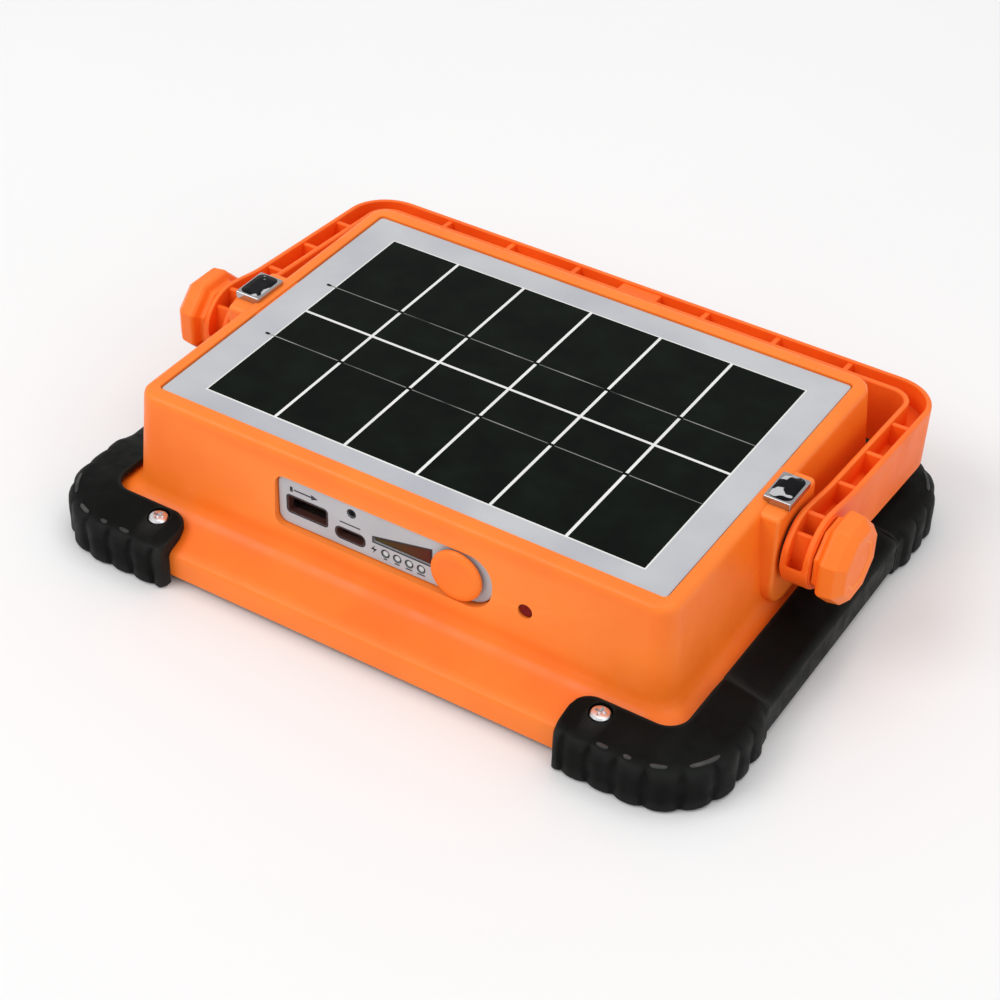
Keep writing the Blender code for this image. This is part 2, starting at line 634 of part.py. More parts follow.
def handle_pockets():
    """Pockets sunk into the band's upper edge, with ribs left between them."""
    floor = BAND_HALF - POCKET_DEEP
    top = ARM_END_R + MM
    bar_low, bar_high = BAR_OUT - ARM_T + POCKET_WALL, BAR_OUT - POCKET_WALL
    pockets = []
    for sign in (-1, 1):
        for start, stop in BAR_POCKETS:
            x0, x1 = sorted((sign * start * MM, sign * stop * MM))
            pockets.append(box("pocket", (x0, bar_low, floor), (x1, bar_high, top)))
        x0, x1 = sorted((sign * (ARM_IN + POCKET_WALL), sign * (ARM_OUT - POCKET_WALL)))
        for start, stop in ARM_POCKETS:
            pockets.append(box("pocket", (x0, start * MM, floor), (x1, stop * MM, top)))
    pockets.append(prism("hang_slot", rounded_rect(5.0 * MM, 2.2 * MM, 2.1 * MM, (0.0, 0.0), 4), ring_y,
                         BAR_OUT - ARM_T - MM, BAR_OUT + MM))
    return pockets


def make_handle():
    """Band, round pivot ends, pockets and bolt holes, hung on an empty on the axis."""
    band = make_band()
    low, high = ARM_IN - ARM_BOSS, ARM_OUT + ARM_BOSS
    end = ((low, ARM_END_R), (high, ARM_END_R))
    hole = ((low - MM, BOLT_HOLE), (high + MM, BOLT_HOLE))
    ends = join("arm_ends", [turned_x("arm_end", end, 0.0, sign) for sign in (-1, 1)])
    holes = [turned_x("pivot_hole", hole, 0.0, sign) for sign in (-1, 1)]
    holes = join("handle_holes", holes + handle_pockets())
    combine(band, "UNION", ends)
    combine(band, "DIFFERENCE", holes)
    axis = bpy.data.objects.new("handle_axis", None)
    bpy.context.collection.objects.link(axis)
    axis.location = (0.0, 0.0, PIVOT_Z)
    axis.rotation_euler = (HANDLE_TILT, 0.0, 0.0)
    for piece in (band, ends, holes):
        piece.parent = axis


def washer_rings(side, inner, outer, low, high):
    rings = [(low, outer), (high, outer), (high, inner), (low, inner)]
    return [ring_x(circle(radius, (0.0, PIVOT_Z)), side * x) for x, radius in rings]


def make_pivots():
    """Bolt, friction washer and clamping knob on each side."""
    rubber = material("washer_rubber", (0.10, 0.10, 0.10), 0.75)
    for side, sign in (("left", -1), ("right", 1)):
        bolt = ((82.0 * MM, 5.5 * MM), (86.4 * MM, 5.5 * MM), (86.4 * MM, BOLT_R), (115.0 * MM, BOLT_R))
        turned_x(f"pivot_bolt_{side}", bolt, PIVOT_Z, sign, steel(), 24)
        low = POD_X + GAP
        rings = washer_rings(sign, BOLT_HOLE, 9.5 * MM, low, low + WASHER_T)
        bm = bmesh.new()
        loops = [[bm.verts.new(point) for point in ring] for ring in rings]
        for k, loop in enumerate(loops):
            following = loops[(k + 1) % 4]
            for i in range(ROUND):
                j = (i + 1) % ROUND
                bm.faces.new((loop[i], loop[j], following[j], following[i]))
        finish_mesh(f"friction_washer_{side}", bm, rubber)
        make_knob(f"clamp_knob_{side}", sign)


def make_knob(name, sign):
    """Eight-sided hand knob with a blind hole for the bolt."""
    low = ARM_OUT + ARM_BOSS + GAP
    profile = (
        (low, KNOB_R - 3.2 * MM), (low + 1.6 * MM, KNOB_R - 2.8 * MM), (low + 2.6 * MM, KNOB_R - 0.6 * MM),
        (low + 3.6 * MM, KNOB_R), (KNOB_OUT - 2.4 * MM, KNOB_R - 0.6 * MM), (KNOB_OUT, KNOB_R - 3.2 * MM),
    )
    turn = math.pi / 8.0
    rings = []
    for x, radius in profile:
        angles = [turn + math.pi * step / 4.0 for step in range(8)]
        rings.append([(sign * x, radius * math.cos(a), radius * math.sin(a)) for a in angles])
    knob = loft(name, rings, orange(), 20.0)
    bore = turned_x(f"{name}_bore", ((low - MM, BOLT_HOLE), (115.4 * MM, BOLT_HOLE)), 0.0, sign, None, 24)
    combine(knob, "DIFFERENCE", bore)
    for piece in (knob, bore):
        piece.location = (0.0, 0.0, PIVOT_Z)


def main():
    clear_scene()
    make_housing()
    make_front()
    make_corners()
    make_panel()
    make_magnets()
    make_port_plate()
    make_electronics()
    make_handle()
    make_pivots()


main()
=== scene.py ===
"""Looks of the solar flood light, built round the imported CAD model.

Lengths are in millimetres until a mesh is placed.
"""
import math
import random

import bmesh
import bpy
from mathutils import Matrix, Vector


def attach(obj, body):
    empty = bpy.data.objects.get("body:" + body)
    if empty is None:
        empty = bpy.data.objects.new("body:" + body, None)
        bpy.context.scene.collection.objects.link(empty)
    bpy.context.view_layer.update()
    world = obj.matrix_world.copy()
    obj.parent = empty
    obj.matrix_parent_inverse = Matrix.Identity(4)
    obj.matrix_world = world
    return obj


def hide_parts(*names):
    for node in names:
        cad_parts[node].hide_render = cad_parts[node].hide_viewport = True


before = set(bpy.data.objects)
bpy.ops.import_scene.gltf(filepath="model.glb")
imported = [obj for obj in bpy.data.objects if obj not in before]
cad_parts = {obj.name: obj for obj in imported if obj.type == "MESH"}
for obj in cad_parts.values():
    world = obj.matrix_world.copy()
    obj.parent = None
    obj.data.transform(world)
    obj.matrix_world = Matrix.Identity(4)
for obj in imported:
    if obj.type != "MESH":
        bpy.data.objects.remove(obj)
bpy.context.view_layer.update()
MM = 0.001

# Sizes shared with the CAD solids.
FLANGE = (110.0, 81.2, 18.0)                 # half sizes and corner radius
RIM_Z = 2.2
PANEL = (86.0, 58.5, 1.2)
PANEL_TOP = 51.2
PANEL_T = 2.3
COVER_T = 2.6
DECK_Z = 5.1
CUP = (47.35, 35.25)                         # middle of a cup
CUP_MOUTH = (43.15, 30.75)
CUP_FLOOR = (30.5, 20.0)
CUP_TOP = 21.5
WINDOW = (4.2, 90.5, 4.5, 66.0)              # a pane in the printed border: left, right, low, high
WINDOW_R = 8.0
OLIVE_WIDTH = 6.3
OLIVE_HUB = 7.0                              # half size of the olive patch in the middle
BOARD_HALF = (33.0, 22.0)
LEDS = (12, 6)                               # columns and rows on a board
LED_PITCH = (4.8, 6.2)
CAP_END = (79.0, 55.5)                       # where a corner cap stops along each side
CAP_INNER = (98.5, 72.0)                     # inner edges of a cap
CAP_ROUND = 6.0
PIVOT_Z = 36.5
POD_X = 96.8
POD_HALF = 12.0
POD_TOP = 51.0
POD_BOTTOM = 14.9
ARM_IN = 98.2
ARM_T = 8.8
ARM_OUT = ARM_IN + ARM_T
ARM_END_R = 12.0
BAND_HALF = 10.5
BAR_OUT = 85.0
HANDLE_R = 15.0
HANDLE_TILT = math.radians(-4.0)
KNOB_OUT = 118.0
KNOB_R = 14.3
MAGNET = (4.4, 6.7, 2.6)
MAGNET_X = 92.9
MAGNET_TOP = 53.4
BUMPER_OUT = 5.3
BUMPER_END = (68.0, 43.0)
SCREW = (77.0, 74.4)
SCREW_SEAT = 15.3
PLATE_Y = -63.9
PLATE_T = 2.4
PLATE = (-39.2, 35.4, 25.8, 43.0)            # left, right, low, high
USB_A = (-28.9, 33.4)
USB_A_HALF = (7.0, 3.0)
USB_C = (-13.7, 30.6)
USB_C_HALF = (5.0, 1.9)
PINHOLE = (-13.1, 39.3)
GAUGE = ((-5.2, 32.8), (14.0, 32.8), (14.0, 38.1), (-5.2, 33.7))
GUIDE_X = (-1.4, 2.7, 6.8, 10.9)
GUIDE_Z = 29.7
BUTTON = (23.8, 34.5)
LAMP_DOT = (46.6, 32.2)
FIELD = (-74.2, 75.2, -50.8, 48.3)           # the solar cells' edges: left, right, low, high
COLUMNS = 6
CELL_GAP = 1.0
ROW_SPLIT = -0.8
BUS_Y = (-17.4, 15.2)
CORNERS = (("front_left", -1, -1), ("front_right", 1, -1), ("back_right", 1, 1), ("back_left", -1, 1))
SIDES = (("left", -1), ("right", 1))
ARC = 12                                     # segments of a quarter turn
ENLARGE = 1.45                               # how much larger the lamp is shown than in the picture


# ---------------------------------------------------------------- materials

def new_material(name, colour, rough, metal=0.0):
    made = bpy.data.materials.new(name)
    made.use_nodes = True
    shader = made.node_tree.nodes["Principled BSDF"]
    shader.inputs["Base Color"].default_value = (*colour, 1.0)
    shader.inputs["Roughness"].default_value = rough
    shader.inputs["Metallic"].default_value = metal
    return made, made.node_tree, shader


def noise(tree, scale, detail=3.0, stretch=None):
    """Noise in object space; scale is in features per metre."""
    place_node = tree.nodes.new("ShaderNodeTexCoord")
    texture = tree.nodes.new("ShaderNodeTexNoise")
    texture.inputs["Scale"].default_value = scale
    texture.inputs["Detail"].default_value = detail
    source = place_node.outputs["Object"]
    if stretch:
        mapping = tree.nodes.new("ShaderNodeMapping")
        mapping.inputs["Scale"].default_value = stretch
        tree.links.new(source, mapping.inputs["Vector"])
        source = mapping.outputs["Vector"]
    tree.links.new(source, texture.inputs["Vector"])
    return texture.outputs["Fac"]


def remap(tree, value, low, high, to_low, to_high):
    node = tree.nodes.new("ShaderNodeMapRange")
    node.inputs["From Min"].default_value = low
    node.inputs["From Max"].default_value = high
    node.inputs["To Min"].default_value = to_low
    node.inputs["To Max"].default_value = to_high
    tree.links.new(value, node.inputs["Value"])
    return node.outputs["Result"]


def blend_colours(tree, factor, first, second):
    """Mix two colours; each is an RGB triple or a colour output."""
    node = tree.nodes.new("ShaderNodeMix")
    node.data_type = "RGBA"
    tree.links.new(factor, node.inputs[0])
    for socket, value in ((node.inputs[6], first), (node.inputs[7], second)):
        if isinstance(value, tuple):
            socket.default_value = (*value, 1.0)
        else:
            tree.links.new(value, socket)
    return node.outputs[2]


def add_bump(tree, shader, height, depth):
    """Bump from a height of 0 to 1 that stands for a depth in millimetres."""
    node = tree.nodes.new("ShaderNodeBump")
    node.inputs["Distance"].default_value = depth * MM
    tree.links.new(height, node.inputs["Height"])
    tree.links.new(node.outputs["Normal"], shader.inputs["Normal"])


def worn(name, colour, shade, rough, metal=0.0, grain=1400.0, depth=0.03, patch=45.0, spread=0.07,
         edge=None, coat=0.0,
         shine=0.5):
    """Moulded or metal surface: soft patches of a second shade, uneven gloss, fine grain, pale edges of wear
    and painted highlight.
    """
    made, tree, shader = new_material(name, colour, rough, metal)
    patches = remap(tree, noise(tree, patch, 4.0), 0.35, 0.68, 0.0, 1.0)
    colours = blend_colours(tree, patches, colour, shade)
    if edge:
        # Pale edges picked out by pointiness: part rubbed wear, part painted highlight.
        geometry = tree.nodes.new("ShaderNodeNewGeometry")
        edge_wear_and_highlight = remap(tree, geometry.outputs["Pointiness"], 0.51, 0.60, 0.0, 0.7)
        colours = blend_colours(tree, edge_wear_and_highlight, colours, edge)
    tree.links.new(colours, shader.inputs["Base Color"])
    gloss = remap(tree, noise(tree, patch * 3.1, 5.0), 0.3, 0.7, rough - spread, rough + spread)
    tree.links.new(gloss, shader.inputs["Roughness"])
    add_bump(tree, shader, noise(tree, grain, 2.0), depth)
    shader.inputs["Specular IOR Level"].default_value = shine
    shader.inputs["Coat Weight"].default_value = coat
    shader.inputs["Coat Roughness"].default_value = 0.15
    return made


def brushed(name, colour, rough, stretch):
    """Metal with fine lines along one axis."""
    made, tree, shader = new_material(name, colour, rough, 1.0)
    lines = noise(tree, 400.0, 3.0, stretch)
    tree.links.new(remap(tree, lines, 0.3, 0.7, rough - 0.08, rough + 0.12), shader.inputs["Roughness"])
    add_bump(tree, shader, lines, 0.01)
    return made


# The edge colours given below paint pale edges that are part wear and part painted highlight.
ORANGE = worn("orange_shell", (1.0, 0.205, 0.015), (0.95, 0.172, 0.011), 0.40, edge=(1.0, 0.30, 0.05),
              depth=0.02, shine=0.32)
ORANGE_KNOB = worn("orange_knob", (1.0, 0.195, 0.015), (0.93, 0.155, 0.010), 0.42, edge=(1.0, 0.30, 0.05),
                   depth=0.03,
                   shine=0.26)
ORANGE_HANDLE = worn("orange_handle", (0.98, 0.155, 0.012), (0.90, 0.118, 0.008), 0.44,
                     edge=(1.0, 0.26, 0.04),
                     depth=0.03, shine=0.24)
BLACK = worn("bumper_rubber", (0.0025, 0.003, 0.0025), (0.005, 0.006, 0.005), 0.50, edge=(0.05, 0.052, 0.05),
             grain=900.0, depth=0.08, patch=70.0, spread=0.12, shine=0.06)
BLACK_BAR = worn("bar_rubber", (0.0025, 0.003, 0.0025), (0.005, 0.006, 0.005), 0.46, edge=(0.04, 0.042, 0.04),
                 grain=900.0, depth=0.06, patch=70.0, spread=0.10, shine=0.06)
# Paler grey for the shoulder dashes: a painted highlight on the black rubber.
RIDGE_HIGHLIGHT_GREY = worn("ridge_rubber_painted_highlight", (0.016, 0.016, 0.016), (0.055, 0.056, 0.055), 0.40, grain=900.0,
                  depth=0.06, patch=160.0,
                  shine=0.3)
STEEL = brushed("screw_steel", (0.78, 0.78, 0.80), 0.34, (1.0, 1.0, 6.0))
SOCKET_STEEL = brushed("socket_steel", (0.26, 0.20, 0.19), 0.36, (1.0, 5.0, 1.0))
CHROME = worn("magnet_edge", (0.52, 0.50, 0.50), (0.40, 0.38, 0.39), 0.14, 1.0, grain=300.0, depth=0.02,
              spread=0.04)
GOLD = brushed("contact_gold", (0.80, 0.58, 0.22), 0.28, (1.0, 5.0, 1.0))
PANEL_SILVER = worn("panel_border", (0.50, 0.51, 0.53), (0.41, 0.42, 0.46), 0.34, grain=2500.0, depth=0.004,
                    patch=30.0, coat=0.4)
CELL_WHITE = worn("cell_backing", (0.80, 0.80, 0.78), (0.70, 0.70, 0.68), 0.35, grain=1200.0, depth=0.005,
                  coat=0.4)
CELL_DARK = worn("cell_silicon", (0.0035, 0.005, 0.004), (0.006, 0.009, 0.006), 0.16, grain=700.0,
                 depth=0.004, patch=90.0,
                 spread=0.06, shine=0.03)
BUS_GREY = worn("bus_wire", (0.035, 0.038, 0.035), (0.34, 0.34, 0.32), 0.35, grain=700.0, depth=0.005,
                patch=60.0,
                shine=0.1)
PLATE_SILVER = worn("plate_silver", (0.47, 0.49, 0.52), (0.41, 0.43, 0.46), 0.34, grain=2200.0, depth=0.012,
                    patch=60.0,
                    edge=(0.60, 0.62, 0.65))
SOCKET_BLACK = worn("socket_black", (0.014, 0.014, 0.015), (0.022, 0.022, 0.023), 0.42, depth=0.02)
LINER = worn("socket_liner", (0.085, 0.032, 0.026), (0.060, 0.024, 0.020), 0.45, depth=0.02, shine=0.15)
# Ink for the printed marks, also used for the painted shadow rings round the cut-outs.
INK_AND_PAINTED_SHADOW = worn("ink_and_painted_shadow", (0.025, 0.028, 0.035), (0.045, 0.05, 0.06), 0.50, depth=0.005, shine=0.2)
OLIVE = worn("olive_print", (0.26, 0.245, 0.012), (0.22, 0.21, 0.010), 0.42, grain=1500.0, depth=0.005)
SURROUND = worn("black_print", (0.012, 0.020, 0.020), (0.016, 0.026, 0.026), 0.40, grain=1500.0, depth=0.005)
SILVERED = worn("reflector_silver", (0.82, 0.85, 0.90), (0.74, 0.78, 0.86), 0.12, 1.0, grain=200.0,
                depth=0.01, spread=0.05)
BOARD_WHITE = worn("board_white", (0.80, 0.81, 0.78), (0.74, 0.75, 0.72), 0.42, grain=1500.0, depth=0.01)
BOARD_BLUE = worn("board_pale_blue", (0.42, 0.45, 0.53), (0.36, 0.39, 0.48), 0.42, grain=1500.0, depth=0.01)
PHOSPHOR_WARM = worn("phosphor_warm", (0.86, 0.42, 0.10), (0.80, 0.36, 0.07), 0.45, grain=2600.0, depth=0.02)
PHOSPHOR_COOL = worn("phosphor_cool", (0.84, 0.74, 0.34), (0.78, 0.68, 0.28), 0.45, grain=2600.0, depth=0.02)
CELL_WRAP = worn("cell_sleeve", (0.05, 0.15, 0.45), (0.04, 0.12, 0.38), 0.35)
BOARD_GREEN = worn("board_green", (0.02, 0.15, 0.05), (0.015, 0.11, 0.04), 0.40)
GREY_RUBBER = worn("gasket_grey", (0.30, 0.30, 0.30), (0.26, 0.26, 0.26), 0.70, depth=0.05)


def clear_plastic(name, colour, rough, alpha):
    """Thin clear moulding; alpha is how much of it is seen rather than seen through."""
    made, tree, shader = new_material(name, colour, rough)
    shader.inputs["Alpha"].default_value = alpha
    smears = noise(tree, 30.0, 5.0)
    tree.links.new(remap(tree, smears, 0.35, 0.7, rough, rough + 0.10), shader.inputs["Roughness"])
    return made


def gauge_tint():
    """Smoked window that goes from olive at its thin end to brown-red at its broad end."""
    made, tree, shader = new_material("gauge_tint", (0.2, 0.08, 0.02), 0.16)
    place_node = tree.nodes.new("ShaderNodeTexCoord")
    parts = tree.nodes.new("ShaderNodeSeparateXYZ")
    tree.links.new(place_node.outputs["Object"], parts.inputs["Vector"])
    along = remap(tree, parts.outputs["X"], GAUGE[0][0] * MM, GAUGE[1][0] * MM, 0.0, 1.0)
    colours = blend_colours(tree, along, (0.055, 0.042, 0.009), (0.10, 0.014, 0.005))
    tree.links.new(colours, shader.inputs["Base Color"])
    shader.inputs["Specular IOR Level"].default_value = 0.1
    tree.links.new(remap(tree, noise(tree, 300.0), 0.3, 0.7, 0.12, 0.26), shader.inputs["Roughness"])
    return made


def swirled():
    """Polished plating over a wavy bump, with sharp dark and bright pools in its colour as painted
    reflections.
    """
    made, tree, shader = new_material("magnet_plating_painted_reflections", (0.02, 0.02, 0.022), 0.07, 1.0)
    # Painted reflections: dark and bright pools in the base colour.
    pools = remap(tree, noise(tree, 215.0, 1.0), 0.555, 0.585, 0.0, 1.0)
    colours = blend_colours(tree, pools, (0.012, 0.012, 0.014), (0.80, 0.80, 0.82))
    tree.links.new(colours, shader.inputs["Base Color"])
    add_bump(tree, shader, noise(tree, 260.0, 1.0), 0.12)
    tree.links.new(remap(tree, noise(tree, 700.0), 0.3, 0.7, 0.05, 0.11), shader.inputs["Roughness"])
    return made


CLEAR = clear_plastic("cover_clear", (0.40, 0.42, 0.43), 0.06, 0.04)
GUIDE_CLEAR = worn("guide_clear", (0.62, 0.66, 0.66), (0.55, 0.60, 0.60), 0.15)
RED_LENS = worn("red_lens_tint", (0.20, 0.0015, 0.001), (0.12, 0.001, 0.001), 0.20, grain=500.0, depth=0.01,
                shine=0.12)
GAUGE_TINT = gauge_tint()
MIRROR = swirled()


# ---------------------------------------------------------------- mesh tools

def rounded_rect(half_x, half_y, radius, mid=(0.0, 0.0), segments=ARC):
    """Anticlockwise outline from the +X +Y corner; radius is one number or one for each corner."""
    radii = radius if isinstance(radius, tuple) else (radius,) * 4
    outline = []
    for turn, ((sx, sy), r) in enumerate(zip(((1, 1), (-1, 1), (-1, -1), (1, -1)), radii)):
        centre = (mid[0] + sx * (half_x - r), mid[1] + sy * (half_y - r))
        for step in range(segments + 1):
            angle = math.radians(90.0 * (turn + step / segments))
            outline.append((centre[0] + r * math.cos(angle), centre[1] + r * math.sin(angle)))
    return outline


def circle(radius, mid=(0.0, 0.0), sides=48):
    angles = [2.0 * math.pi * step / sides for step in range(sides)]
    return [(mid[0] + radius * math.cos(a), mid[1] + radius * math.sin(a)) for a in angles]


def ring_x(outline, x):
    return [(x, y, z) for y, z in outline]


def ring_y(outline, y):
    return [(x, y, z) for x, z in outline]


def ring_z(outline, z):
    return [(x, y, z) for x, y in outline]


def skin(rings, closed=False):
    """Quads between equal rings of points, capped at both ends unless the last ring meets the first."""
    bm = bmesh.new()
    loops = [[bm.verts.new(point) for point in ring] for ring in rings]
    following = loops[1:] + ([loops[0]] if closed else [])
    for low, high in zip(loops, following):
        for i in range(len(low)):
            j = (i + 1) % len(low)
            bm.faces.new((low[i], low[j], high[j], high[i]))
    if not closed:
        bm.faces.new(loops[0])
        bm.faces.new(loops[-1])
    bmesh.ops.recalc_face_normals(bm, faces=bm.faces)
    return bm


def slab(outline_at, ring, low, high, edge, steps=3):
    """Slab between two levels with rounded rims; outline_at gives the outline for an inset."""
    way = 1.0 if high > low else -1.0
    bends = [math.radians(90.0 * k / steps) for k in range(steps + 1)]
    levels = [(edge * (1.0 - math.sin(a)), low + way * edge * (1.0 - math.cos(a))) for a in bends]
    levels += [(edge * (1.0 - math.sin(a)), high - way * edge * (1.0 - math.cos(a))) for a in reversed(bends)]
    return skin([ring(outline_at(inset), level) for inset, level in levels])


def turned(profile, ring, mid, sides=48):
    """Solid of revolution; profile is (level, radius) along the axis that ring stands for."""
    return skin([ring(circle(radius, mid, sides), level) for level, radius in profile])


def block(low, high, edge=0.3, steps=2):
    """Box with rounded edges between two opposite corners."""
    bm = bmesh.new()
    bmesh.ops.create_cube(bm, size=1.0)
    size = [b - a for a, b in zip(low, high)]
    middle = [0.5 * (a + b) for a, b in zip(low, high)]
    bmesh.ops.scale(bm, vec=size, verts=bm.verts)
    bmesh.ops.translate(bm, vec=middle, verts=bm.verts)
    if edge:
        bmesh.ops.bevel(bm, geom=bm.edges[:], offset=edge, segments=steps, profile=0.5, affect="EDGES")
    return bm


def merge(shapes):
    """Several loose shapes as one."""
    whole = bmesh.new()
    for shape in shapes:
        mesh = bpy.data.meshes.new("loose")
        shape.to_mesh(mesh)
        shape.free()
        whole.from_mesh(mesh)
        bpy.data.meshes.remove(mesh)
    return whole


def combine(target, tool, operation):
    """Exact Boolean of two shapes, as a new shape."""
    loose = []
    for shape in (target, tool):
        bmesh.ops.recalc_face_normals(shape, faces=shape.faces)
        mesh = bpy.data.meshes.new("loose")
        shape.to_mesh(mesh)
        shape.free()
        holder = bpy.data.objects.new("loose", mesh)
        bpy.context.scene.collection.objects.link(holder)
        loose.append(holder)
    step = loose[0].modifiers.new("combine", "BOOLEAN")
    step.operation = operation
    step.solver = "EXACT"
    step.object = loose[1]
    result = bmesh.new()
    result.from_object(loose[0], bpy.context.evaluated_depsgraph_get())
    for holder in loose:
        mesh = holder.data
        bpy.data.objects.remove(holder)
        bpy.data.meshes.remove(mesh)
    bmesh.ops.remove_doubles(result, verts=result.verts, dist=0.0005)
    return result


def place(name, shape, paint, body, replaced=(), angle=38.0, bevel=0.0, flat=False):
    """Turn a shape in millimetres into a piece of the lamp that rides on a body."""
    bmesh.ops.scale(shape, vec=(MM, MM, MM), verts=shape.verts)
    mesh = bpy.data.meshes.new(name)
    shape.to_mesh(mesh)
    shape.free()
    piece = bpy.data.objects.new(name, mesh)
    bpy.context.scene.collection.objects.link(piece)
    mesh.materials.append(paint)
    if not flat:
        mesh.shade_smooth()
        mesh.set_sharp_from_angle(angle=math.radians(angle))
        if bevel:
            rounding = piece.modifiers.new("rounding", "BEVEL")
            rounding.width = bevel * MM
            rounding.segments = 3
            rounding.limit_method = "ANGLE"
            rounding.angle_limit = math.radians(angle)
        weighted = piece.modifiers.new("weighted_normals", "WEIGHTED_NORMAL")
        weighted.keep_sharp = True
    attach(piece, body)
    if replaced:
        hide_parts(*replaced)
    return piece


# ---------------------------------------------------------------- housing

def make_housing():
    """Rear pan, flange and rim, with the holes for the port plate and the red light, and both pods."""
    rings = [
        (86.3, 58.8, 47.7, 1.5), (86.3, 58.8, 51.2, 1.5), (86.5, 59.0, 51.65, 1.7), (86.9, 59.4, 51.8, 2.1),
        (88.9, 62.4, 51.8, 4.6), (89.9, 63.4, 51.5, 5.3), (90.6, 64.1, 50.8, 6.0), (90.9, 64.45, 49.7, 6.4),
        (91.04, 64.57, 48.2, 6.5), (93.3, 66.1, 22.0, 7.9), (93.5, 66.2, 20.0, 8.0), (93.9, 66.6, 18.0, 8.2),
        (95.0, 67.8, 16.1, 8.6), (97.2, 70.2, 14.8, 9.4), (101.2, 73.4, 13.5, 11.8),
        (105.4, 76.9, 12.2, 14.7),
        (107.9, 79.1, 11.4, 16.4), (109.4, 80.6, 10.5, 17.5), (110.0, 81.2, 9.3, 18.0),
        (110.0, 81.2, 3.1, 18.0),
        (109.8, 81.0, 2.5, 17.8), (109.4, 80.6, 2.25, 17.4), (108.8, 80.0, 2.2, 16.8),
        (108.0, 79.2, 2.2, 16.0),
        (108.0, 79.2, 6.4, 16.0), (103.5, 74.7, 6.4, 11.5), (103.5, 74.7, 9.4, 11.5), (96.0, 69.4, 12.0, 8.0),
        (91.0, 63.8, 17.0, 6.0), (88.2, 62.0, 45.2, 4.0),
    ]
    shell = skin([ring_z(rounded_rect(x, y, r), z) for x, y, z, r in rings])
    cuts = merge([
        slab(lambda inset: plate_outline(0.25 - inset), ring_y, -75.0, -58.0, 0.01, 1),
        turned(((-75.0, 2.35), (-58.0, 2.35)), ring_y, LAMP_DOT, 32),
    ])
    shell = combine(shell, cuts, "DIFFERENCE")
    pods = [slab(pod_outline, ring_x, sign * 85.0, sign * POD_X, 1.3) for _, sign in SIDES]
    housing = merge([shell] + pods)
    place("housing_shell", housing, ORANGE, "housing", ["rear_housing"], angle=32.0)


def plate_outline(grow):
    """Outline of the port plate, whose +X end is rounder than its other end."""
    left, right, low, high = PLATE
    half = (0.5 * (right - left) + grow, 0.5 * (high - low) + grow)
    radii = tuple(r + grow for r in (8.0, 3.2, 3.2, 8.0))
    return rounded_rect(*half, radii, (0.5 * (left + right), 0.5 * (low + high)))


def pod_outline(inset):
    """Arch with a flat top, softened corners and a round foot, as (y, z)."""
    half, top, foot, soft = POD_HALF - inset, POD_TOP - inset, POD_BOTTOM + POD_HALF, 1.6
    outline = []
    for sign, start in ((1, 0.0), (-1, 90.0)):
        for step in range(5):
            angle = math.radians(start + 90.0 * step / 4.0)
            outline.append((sign * (half - soft) + soft * math.cos(angle),
                            top - soft + soft * math.sin(angle)))
    for step in range(2 * ARC + 1):
        angle = math.radians(180.0 + 180.0 * step / (2 * ARC))
        outline.append((half * math.cos(angle), foot + half * math.sin(angle)))
    return outline


# ---------------------------------------------------------------- solar panel

def make_panel():
    """Silver-printed laminate, white backing, dark cells, thin bus wires with solder tabs."""
    border = slab(lambda i: rounded_rect(PANEL[0] - i, PANEL[1] - i, PANEL[2], segments=4), ring_z,
                  PANEL_TOP - PANEL_T, PANEL_TOP - 0.12, 0.25)
    place("panel_laminate", border, PANEL_SILVER, "housing", ["solar_panel"])
    left, right, low, high = FIELD
    backing = block((left - 0.5, low - 0.5, PANEL_TOP - 0.4), (right + 0.5, high + 0.5, PANEL_TOP - 0.09),
                    0.03, 1)
    place("cell_backing", backing, CELL_WHITE, "housing")
    cells = []
    pitch = (right - left) / COLUMNS
    for column in range(COLUMNS):
        x0 = left + column * pitch + (0.5 * CELL_GAP if column else 0.0)
        x1 = left + (column + 1) * pitch - (0.5 * CELL_GAP if column < COLUMNS - 1 else 0.0)
        for y0, y1 in ((low, ROW_SPLIT - 0.5 * CELL_GAP), (ROW_SPLIT + 0.5 * CELL_GAP, high)):
            cells.append(block((x0, y0, PANEL_TOP - 0.3), (x1, y1, PANEL_TOP - 0.04), 0.03, 1))
    place("solar_cells", merge(cells), CELL_DARK, "housing")
    wires, tabs = [], []
    for y in BUS_Y:
        wires.append(block((left - 3.0, y - 0.19, PANEL_TOP - 0.2), (right, y + 0.19, PANEL_TOP - 0.02),
                           0.02, 1))
        tabs.append(block((left - 3.4, y - 0.45, PANEL_TOP - 0.2),
                          (left - 1.9, y + 0.45, PANEL_TOP - 0.005), 0.02, 1))
        for column in range(1, COLUMNS):
            x = left + column * pitch
            tabs.append(block((x - 1.1, y - 0.5, PANEL_TOP - 0.2), (x + 1.1, y + 0.5, PANEL_TOP - 0.005),
                              0.02, 1))
    place("bus_wires", merge(wires), BUS_GREY, "housing")
    place("bus_tabs", merge(tabs), CELL_DARK, "housing")


# ---------------------------------------------------------------- corners

def flange_stations(sx, sy, step):
    """Points round one corner of the flange, each with its outward direction and the distance run."""
    half_x, half_y, radius = FLANGE
    along = half_x - radius - BUMPER_END[0]
    down = half_y - radius - BUMPER_END[1]
    arc = 0.5 * math.pi * radius
    total = along + arc + down
    count = round(total / step)
    stations = []
    for k in range(count + 1):
        run = total * k / count
        if run <= along:
            point, out = (BUMPER_END[0] + run, half_y), (0.0, 1.0)
        elif run <= along + arc:
            angle = 0.5 * math.pi - (run - along) / radius
            out = (math.cos(angle), math.sin(angle))
            point = (half_x - radius + radius * out[0], half_y - radius + radius * out[1])
        else:
            point, out = (half_x, half_y - radius - (run - along - arc)), (1.0, 0.0)
        stations.append(((sx * point[0], sy * point[1]), (sx * out[0], sy * out[1]), run, total))
    return stations


